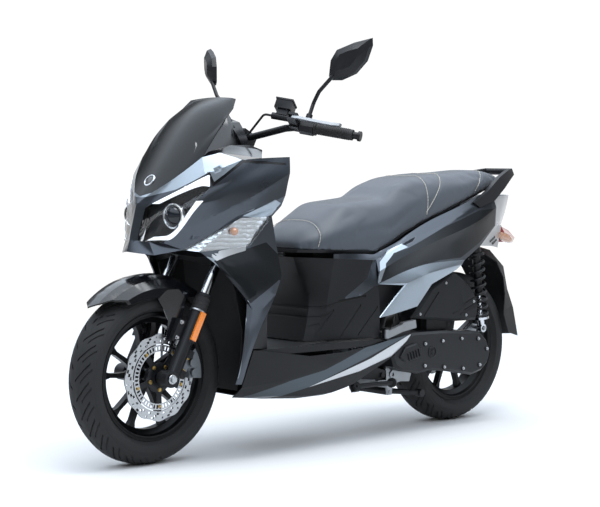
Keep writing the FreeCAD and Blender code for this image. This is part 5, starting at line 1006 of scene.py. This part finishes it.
class SCOOTER_OT_wheels(Piece):
    """Adds the wheels, tyres and discs"""
    bl_idname = "scooter.wheels"
    bl_label = "Wheels"

    SPOKES, PITCH = 5, 72           # the spokes, and the degrees from one to the next
    SPOKE_START, ARM_START, VALVE_TURN = 90, 54, 126        # degrees of the first spoke and arm, and the valve
    COLUMNS = 7                     # columns of faces to one pitch of the tread
    TREAD_R = 237                   # the tread's grooves begin this far from the axle
    TREAD_LEAN = 0.30               # radians that the tread leans at its edges
    LOBES = 12                      # waves of a disc's rim

    def execute(self, context):
        sizes = settings()
        for end, centre, rim_half, tyre_half in (("front", FRONT_AXLE, 41, 58), ("rear", REAR_AXLE, 47, 68)):
            self.tyre(sizes, end, centre, rim_half - 3, tyre_half)
            self.rim(end, centre, rim_half)
        self.disc("front", FRONT_AXLE, 130, 62, 35.2, "disc")
        self.disc("rear", REAR_AXLE, 110, -66, -41.2, "rear_disc")
        return {"FINISHED"}

    def tyre(self, sizes, end, centre, bead, half):
        """A tyre whose tread columns lean, so that the grooves pressed into them run in a chevron."""
        wall = [(bead, 177.6), (bead, 190.5), (bead + 3, 193.5), (half * 0.94, 203), (half * 0.99, 214),
                (half, 223),
                (half * 0.985, 226), (half * 0.95, 230), (half * 0.955, 231.5), (half * 0.90, 238),
                (half * 0.81, 245),
                (half * 0.70, 250.5), (half * 0.58, 254.8), (half * 0.44, 258.2), (half * 0.32, 260.6),
                (16, 262),
                (6, 262)]
        inside = [(-bead + 10, 190.5), (-half + 9, 222), (-half * 0.8, 240), (-half * 0.4, 250), (0, 252),
                  (half * 0.4, 250), (half * 0.8, 240), (half - 9, 222), (bead - 10, 190.5),
                  (bead - 12, 177.6)]
        profile = wall + [(-y, r) for y, r in wall[::-1]] + [(-bead + 12, 177.6)] + inside
        steps = self.COLUMNS * sizes.grooves
        form = bmesh.new()
        faces = add_turned(form, profile, centre, ACROSS, steps, True)
        long_groove, short_groove = [], []
        for face in faces:
            middle, reach, column = lie_of(face, centre, steps)
            share = abs(middle.y) / MM / half
            if reach < self.TREAD_R or face.normal.dot(Vector((middle.x, 0, middle.z))) < 0:
                continue
            column = (column + (3 if middle.y < 0 else 0)) % self.COLUMNS
            if column == 0 and 0.1 < share < 0.84:
                long_groove.append(face)
            elif column == 4 and 0.5 < share < 0.88:
                short_groove.append(face)
        bmesh.ops.inset_region(form, faces=long_groove, thickness=1.2 * MM, depth=-sizes.tread_depth)
        bmesh.ops.inset_region(form, faces=short_groove, thickness=1.6 * MM, depth=-0.7 * sizes.tread_depth)
        for v in form.verts:
            share = abs(v.co.y) / MM / half
            turn = Matrix.Rotation(-self.TREAD_LEAN * share ** 1.3, 3, "Y")
            v.co = centre + turn @ (v.co - centre)
        piece(form, end + "_tyre_tread", FINISH["tyre"], end + "_wheel", [end + "_tyre"], 0,
              36)

    def rim(self, end, centre, half):
        """A cast wheel: a turned well and flanges, five forked spokes, a hub and a valve stem."""
        form = bmesh.new()
        seat = half - 3
        outer = [(half, 188), (half, 191), (seat + 0.5, 191), (seat, 178), (seat - 17, 177),
                 (seat - 24, 161.4),
                 (-seat + 24, 161.4), (-seat + 17, 177), (-seat, 178), (-seat - 0.5, 191), (-half, 191),
                 (-half, 188)]
        inner = [(-half + 2, 180), (-seat + 14, 173), (-seat + 24, 157.6), (seat - 24, 157.6),
                 (seat - 14, 173),
                 (half - 2, 180)]
        add_turned(form, outer + inner, centre, ACROSS, 96, True)
        # One half of a forked spoke, as (reach, degrees): out along its edge, and back inside the fork.
        edge = [(24, 44), (42, 30), (62, 22), (100, 17.6), (140, 16.4), (159, 18.4), (159, 9.6), (140, 11.2),
                (104, 9.6), (78, 6.0), (66, 0)]
        for index in range(self.SPOKES):
            turn = math.radians(self.SPOKE_START + self.PITCH * index)
            add_arm(form, centre, turn, edge + [(r, -a) for r, a in edge[-2::-1]], -11, 22)
        hub = half - 6
        add_turned(form, [(-hub, 9), (-hub, 24), (-hub + 6, 30), (-12, 30), (-8, 36), (8, 36), (12, 30),
                          (hub - 6, 30),
                          (hub, 24), (hub, 9)], centre, ACROSS, 48, True)
        valve = math.radians(self.VALVE_TURN)
        add_rod(form, round_axle(centre, valve, 171), round_axle(centre, valve, 149), 4, 3, 12)
        piece(form, end + "_wheel_casting", FINISH["wheel"], end + "_wheel", [end + "_rim"],
              2.2 * MM,
              30, 3)

    def disc(self, end, centre, reach, y, hub_y, finish):
        """A wavy drilled rotor on rivets, a slotted speed ring inside it, and the black carrier."""
        side = math.copysign(1, y)
        place = centre + ACROSS * y * MM
        steps, teeth = 144, 96
        form = bmesh.new()
        rows = [reach - 31, reach - 26, reach - 20, reach - 13, reach - 7, reach - 3]
        faces = add_turned(form, [(0, r) for r in rows], place, ACROSS, steps)
        holes = []
        for face in faces:
            _, away, column = lie_of(face, place, steps)
            row = sum(away > r for r in rows)
            if (row, column % (steps // self.LOBES)) in ((2, 0), (2, 1), (3, 2), (3, 3), (4, 4), (4, 5),
                                                         (4, 9), (2, 7), (2, 8)):
                holes.append(face)
        bmesh.ops.delete(form, geom=holes, context="FACES")
        for v in form.verts:
            out = v.co - place
            if out.length > (reach - 4) * MM:
                v.co += out.normalized() * (0.4 + 2.4 * math.cos(self.LOBES * math.atan2(out.z, out.x))) * MM
        bmesh.ops.recalc_face_normals(form, faces=form.faces)
        self.plate(form, end + "_rotor", FINISH[finish], end, 4.0, [end + "_disc"])
        form = bmesh.new()
        faces = add_turned(form, [(0, r) for r in (reach - 53, reach - 49, reach - 38, reach - 34)],
                           place + ACROSS * side * 2.4 * MM, ACROSS, teeth)
        slots = []
        for face in faces:
            _, away, column = lie_of(face, place, teeth)
            if column % 2 and abs(away - (reach - 43.5)) < 4:
                slots.append(face)
        bmesh.ops.delete(form, geom=slots, context="FACES")
        self.plate(form, end + "_speed_ring", FINISH[finish], end, 1.6)
        form = bmesh.new()
        edge = [(20, 40), (34, 30), (52, 9), (reach - 36, 6.5), (reach - 29, 4)]
        turns = [math.radians(self.ARM_START + self.PITCH * index) for index in range(self.SPOKES)]
        for turn in turns:
            add_arm(form, place, turn, edge + [(r, -a) for r, a in edge[::-1]], -side * 2.2, side * 4.4)
        add_turned(form, [(-3.4 * side, 22), (1.6 * side, 22), (2.6 * side, 24), (2.6 * side, 42),
                          (1.6 * side, 44),
                          (-3.4 * side, 44)], place, ACROSS, 48, True)
        neck = side * abs(y - hub_y)
        add_turned(form, [(0, 22), (0, 28), (neck, 28), (neck, 22)], centre + ACROSS * hub_y * MM, ACROSS, 40,
                   True)
        piece(form, end + "_disc_carrier", FINISH["black_cast"], end + "_wheel", (), 0.8 * MM)
        form = bmesh.new()
        for turn in turns:
            for r, size in ((36, 5.0), (reach - 45, 4.2)):
                add_bolt(form, round_axle(place, turn, r, side * 2.6), ACROSS * side, size, 3.6)
        piece(form, end + "_disc_bolts", FINISH["brass"], end + "_wheel", (), 0.3 * MM)

    def plate(self, form, name, finish, end, thick, replaces=()):
        """A flat form given its thickness about its own plane."""
        bmesh.ops.recalc_face_normals(form, faces=form.faces)
        made = piece(form, name, finish, end + "_wheel", replaces, 0.5 * MM, 40)
        wall = made.modifiers.new("plate", "SOLIDIFY")
        wall.thickness = thick * MM
        wall.offset = 0
        made.modifiers.move(1, 0)


class SCOOTER_OT_controls(Piece):
    """Adds the grips, levers, switches, reservoirs, hoses and mirrors"""
    bl_idname = "scooter.controls"
    bl_label = "Controls"

    GRIP_RIBS, RIB_PITCH = 18, 5.6

    def execute(self, context):
        sizes = settings()
        for name, finish, body, slot in (
                ("switchgear", "nylon", "steering", "control_plastic"),
                ("brake_reservoirs", "black_cast", "steering", "black_alloy"),
                ("brake_hoses", "rubber", "steering", "black_rubber"),
                ("grip_left", "rubber", "steering", "black_rubber"),
                ("throttle_grip", "rubber", "throttle", "black_rubber"),
                ("brake_lever_left", "cast", "left_lever", "silver_alloy"),
                ("brake_lever_right", "cast", "right_lever", "silver_alloy"),
                ("horn_button", "nylon", "horn", "control_plastic"),
                ("turn_switch", "nylon", "turn_switch", "control_plastic"),
                ("starter_button", "nylon", "starter", "control_plastic")):
            dress(name, FINISH[finish], body)
        for name, body in (("mirror_left", "left_mirror"), ("mirror_right", "right_mirror")):
            form = clean_copy(name)
            backs = [f for f in form.faces if f.normal.x < -0.6 and f.calc_area() > 4e-4]
            bmesh.ops.inset_region(form, faces=backs, thickness=5 * MM, depth=-1 * MM)
            for face in backs:
                face.material_index = 1
            piece(form, name + "_skin", [FINISH["nylon"], FINISH["mirror"]], body, [name],
                  sizes.part_edge)
        for name, body, side in (("left_grip_ribs", "steering", 1), ("throttle_grip_ribs", "throttle", -1)):
            form = bmesh.new()
            for index in range(self.GRIP_RIBS):
                spot = GRIP_START + GRIP_AXIS * (14 + index * self.RIB_PITCH) * MM
                add_turned(form, [(-1.5, 16.2), (-0.8, 17.6), (0.8, 17.6), (1.5, 16.2)], spot, GRIP_AXIS, 32,
                           True)
            if side < 0:
                bmesh.ops.scale(form, vec=(1, -1, 1), verts=form.verts)
                bmesh.ops.reverse_faces(form, faces=form.faces)
            piece(form, name, FINISH["rubber"], body, (), 0, 50)
        return {"FINISHED"}


class SCOOTER_OT_seat(Piece):
    """Adds the seat cushion with its seams and stitches"""
    bl_idname = "scooter.seat"
    bl_label = "Seat"

    SHOULDER = 16                   # rounding of the foam's edges
    VOXEL = 6                       # mesh size of the foam
    SEAM_WIDE, SEAM_DEEP = 9, 2.2   # how far to each side a seam pulls the cover in, and how deep
    THREAD_R, THREAD_AWAY = 1.1, 4.5        # the thread's radius, and how far ahead of its seam it runs
    # Each seam: a point of its plane in the side view, and the way the seam climbs.
    SEAMS = (((778, 633), (-38, 118)), ((278, 732), (-24, 127)), ((283, 738), (-104, 101)),
             ((-23, 811), (-62, 66)))

    def execute(self, context):
        sizes = settings()
        form = clean_copy("seat_cushion")
        hard = bpy.data.meshes.new("seat_foam")
        form.to_mesh(hard)
        form.free()
        holder = bpy.data.objects.new("seat_foam", hard)
        bpy.context.scene.collection.objects.link(holder)
        rounding = holder.modifiers.new("shoulders", "BEVEL")
        rounding.width, rounding.segments = self.SHOULDER * MM, 4
        rounding.angle_limit = math.radians(24)
        skin = holder.modifiers.new("skin", "REMESH")
        skin.mode, skin.voxel_size = "VOXEL", self.VOXEL * MM
        self.apply(holder)
        form = bmesh.new()
        form.from_mesh(holder.data)
        self.relax(form, 36)
        form.to_mesh(holder.data)
        self.fill(holder, sizes)
        form.free()
        form = bmesh.new()
        form.from_mesh(holder.data)
        self.relax(form, 3)
        seams = self.press_seams(form)
        bmesh.ops.subdivide_edges(form, edges=form.edges[:], cuts=1, use_grid_fill=True, smooth=0.4)
        cushion = piece(form, "seat_cover", FINISH["seat"], "seat", ["seat_cushion"], 0, 60)
        bpy.data.objects.remove(holder)
        self.stitches(sizes, seams)
        return {"FINISHED"}

    def apply(self, holder):
        view = bpy.context.evaluated_depsgraph_get()
        view.update()
        mesh = bpy.data.meshes.new_from_object(holder.evaluated_get(view))
        holder.modifiers.clear()
        holder.data = mesh

    def relax(self, form, times):
        """Softens the foam's surface, its flat underside held where it lies on the pan."""
        free = [v for v in form.verts if v.normal.z > -0.75]
        for _ in range(times):
            bmesh.ops.smooth_vert(form, verts=free, factor=0.5, use_axis_x=True, use_axis_y=True,
                                  use_axis_z=True)
            form.normal_update()

    def fill(self, holder, sizes):
        """Lets the cover swell as stuffed cloth, no further than the seat's swell."""
        mesh = holder.data
        rest = [v.co.copy() for v in mesh.vertices]
        held = holder.vertex_groups.new(name="on_pan")
        held.add([v.index for v in mesh.vertices if v.normal.z < -0.6], 1.0, "REPLACE")
        cloth = holder.modifiers.new("cover", "CLOTH")
        cloth.settings.use_pressure = True
        cloth.settings.uniform_pressure_force = 4.0
        cloth.settings.vertex_group_mass = "on_pan"
        cloth.settings.effector_weights.gravity = 0.0
        cloth.settings.tension_stiffness = 40
        cloth.settings.bending_stiffness = 4
        cloth.collision_settings.use_collision = False
        cloth.point_cache.frame_start, cloth.point_cache.frame_end = 1, 20
        for step in range(1, 21):
            bpy.context.scene.frame_set(step)
        self.apply(holder)
        bpy.context.scene.frame_set(1)
        for vertex, start in zip(holder.data.vertices, rest):
            way = vertex.co - start
            if way.length > sizes.seat_swell:
                vertex.co = start + way.normalized() * sizes.seat_swell

    def press_seams(self, form):
        """Pulls the cover in along each seam's plane, and returns the lines that the seams follow."""
        form.normal_update()
        lines = []
        for (x, z), climb in self.SEAMS:
            spot = at(x, 0, z)
            way = Vector((climb[0], 0, climb[1])).normalized()
            plane = way.cross(ACROSS)
            copy = form.copy()
            cut = bmesh.ops.bisect_plane(copy, geom=copy.verts[:] + copy.edges[:] + copy.faces[:], dist=1e-6,
                                         plane_co=spot, plane_no=plane, clear_inner=True)["geom_cut"]
            ring = [(v.co.copy(), v.normal.copy()) for v in cut if isinstance(v, bmesh.types.BMVert)
                    and (v.co - spot).dot(way) > -0.002 and v.normal.z > -0.5]
            middle = sum((p for p, n in ring), Vector()) / len(ring)
            low = middle - way * 60 * MM
            ring.sort(key=lambda each: math.atan2((each[0] - low).dot(ACROSS), (each[0] - low).dot(way)))
            lines.append(ring)
            copy.free()
            for v in form.verts:
                away = abs((v.co - spot).dot(plane)) / MM
                if away < self.SEAM_WIDE and v.normal.z > -0.5 and (v.co - spot).dot(way) > -0.01:
                    v.co -= v.normal * self.SEAM_DEEP * MM * (1 - away / self.SEAM_WIDE) ** 2
        return lines

    def stitches(self, sizes, seams):
        """A row of stitches ahead of every seam."""
        form = bmesh.new()
        for ring in seams:
            run, marks = 0.0, [0.0]
            for (a, _), (b, _) in zip(ring, ring[1:]):
                run += (b - a).length
                marks.append(run)
            count = int(run / (sizes.stitch_length * 1.25))
            for k in range(count):
                ends = []
                for share in (k, k + 0.8):
                    want = share * run / count
                    i = max(j for j, mark in enumerate(marks[:-1]) if mark <= want)
                    part = (want - marks[i]) / max(1e-9, marks[i + 1] - marks[i])
                    ends.append((ring[i][0].lerp(ring[i + 1][0], part),
                                 ring[i][1].lerp(ring[i + 1][1], part)))
                ahead = Vector((self.THREAD_AWAY, 0, 0)) * MM
                start, end = (p + n.normalized() * 0.2 * MM + ahead for p, n in ends)
                add_rod(form, start, end, self.THREAD_R, sides=6)
        piece(form, "seat_stitches", FINISH["thread"], "seat", (), 0, 60)


class SCOOTER_OT_stage(Piece):
    """Adds the floor, the studio lights and the camera"""
    bl_idname = "scooter.stage"
    bl_label = "Stage"

    # The camera's place, its heading, how far it looks down and leans, in degrees, and its lens.
    CAMERA = (3.6786, 3.6399, 0.8699)
    HEADING, DIP, TILT = -134.41, 2.955, 0.878
    LENS = 94.9
    BACKDROP_WAY = (-0.70, -0.714, 0)
    FLOOR_R = 4.2

    def execute(self, context):
        scene = bpy.context.scene
        form = bmesh.new()
        bmesh.ops.create_circle(form, cap_ends=True, segments=96, radius=self.FLOOR_R)
        made = material("studio_floor", Roughness=0.9, Base_Color=linear("#d2d2d2"))[0]
        mesh = bpy.data.meshes.new("floor")
        form.to_mesh(mesh)
        form.free()
        mesh.materials.append(made)
        floor = bpy.data.objects.new("floor", mesh)
        scene.collection.objects.link(floor)
        world = bpy.data.worlds.new("studio")
        scene.world = world
        world.use_nodes = True
        # A white backdrop behind the scooter, dim walls round it, and a bright, slightly cool ceiling.
        tree = world.node_tree
        way = node(tree, "TexCoord").outputs["Generated"]
        up = node(tree, "SeparateXYZ", {"Vector": way}).outputs["Z"]
        behind = node(tree, "VectorMath", {0: way, 1: self.BACKDROP_WAY},
                      operation="DOT_PRODUCT").outputs["Value"]
        backdrop = remap(tree, behind, (0.70, 0.80), (0.5, 1.05))
        wall = remap(tree, up, (0.14, 0.2), (1.0, 0.15))
        near = node(tree, "Math", {0: backdrop, 1: wall}, operation="MULTIPLY").outputs[0]
        ceiling = remap(tree, up, (0.42, 0.6), (0.0, 2.2))
        total = node(tree, "Math", {0: near, 1: ceiling}, operation="ADD").outputs[0]
        share = remap(tree, up, (0.2, 0.6))
        cool = node(tree, "Mix", {"Factor": share, 6: (1, 1, 1, 1), 7: (0.86, 0.95, 1.06, 1)},
                    data_type="RGBA")
        tree.links.new(total, tree.nodes["Background"].inputs["Strength"])
        tree.links.new(cool.outputs[2], tree.nodes["Background"].inputs["Color"])
        scene.view_settings.view_transform = "Standard"
        for name, place, aim, size, power in (
                ("overhead", (0.2, 0.6, 3.4), (0, 0, 0.4), (2.6, 1.2), 60),
                ("side", (1.0, 4.4, 2.4), (0, 0, 0.6), (2.0, 0.6), 16),
                ("front", (5.0, -0.6, 2.2), (0.3, 0, 0.7), (1.0, 1.0), 12)):
            light = bpy.data.lights.new(name, "AREA")
            light.shape = "RECTANGLE"
            light.size, light.size_y = size
            light.energy = power
            lamp = bpy.data.objects.new(name, light)
            lamp.matrix_world = facing(Vector(place) - Vector(aim), Vector(place))
            lamp.visible_glossy = name == "overhead"
            scene.collection.objects.link(lamp)
        view = bpy.data.cameras.new("camera")
        view.lens = self.LENS
        view.sensor_width = 36
        camera = bpy.data.objects.new("camera", view)
        turn = (Matrix.Rotation(math.radians(self.HEADING - 90), 4, "Z")
                @ Matrix.Rotation(math.radians(90 - self.DIP), 4, "X")
                @ Matrix.Rotation(math.radians(self.TILT), 4, "Z"))
        camera.matrix_world = Matrix.Translation(self.CAMERA) @ turn
        scene.collection.objects.link(camera)
        scene.camera = camera
        return {"FINISHED"}


class SCOOTER_PT_panel(bpy.types.Panel):
    """The scooter's pieces and settings"""
    bl_label = "Scooter"
    bl_space_type = "VIEW_3D"
    bl_region_type = "UI"
    bl_category = "Scooter"

    def draw(self, context):
        for group in (context.scene.scooter_sizes, context.scene.scooter_colours):
            box = self.layout.box()
            for name in group.__annotations__:
                box.prop(group, name)
        for operator in OPERATORS:
            self.layout.operator(operator.bl_idname)


OPERATORS = (SCOOTER_OT_finishes, SCOOTER_OT_stage, SCOOTER_OT_panels, SCOOTER_OT_mouldings, SCOOTER_OT_lamps,
             SCOOTER_OT_machinery, SCOOTER_OT_springs, SCOOTER_OT_wheels, SCOOTER_OT_controls,
             SCOOTER_OT_seat)
CLASSES = (ScooterColours, ScooterSizes) + OPERATORS + (SCOOTER_PT_panel,)


def register():
    for each in CLASSES:
        bpy.utils.register_class(each)
    bpy.types.Scene.scooter_colours = PointerProperty(type=ScooterColours)
    bpy.types.Scene.scooter_sizes = PointerProperty(type=ScooterSizes)


def unregister():
    del bpy.types.Scene.scooter_colours
    del bpy.types.Scene.scooter_sizes
    for each in reversed(CLASSES):
        bpy.utils.unregister_class(each)


def main():
    register()
    for operator in OPERATORS:
        group, name = operator.bl_idname.split(".")
        getattr(getattr(bpy.ops, group), name)()


if __name__ == "__main__":
    main()
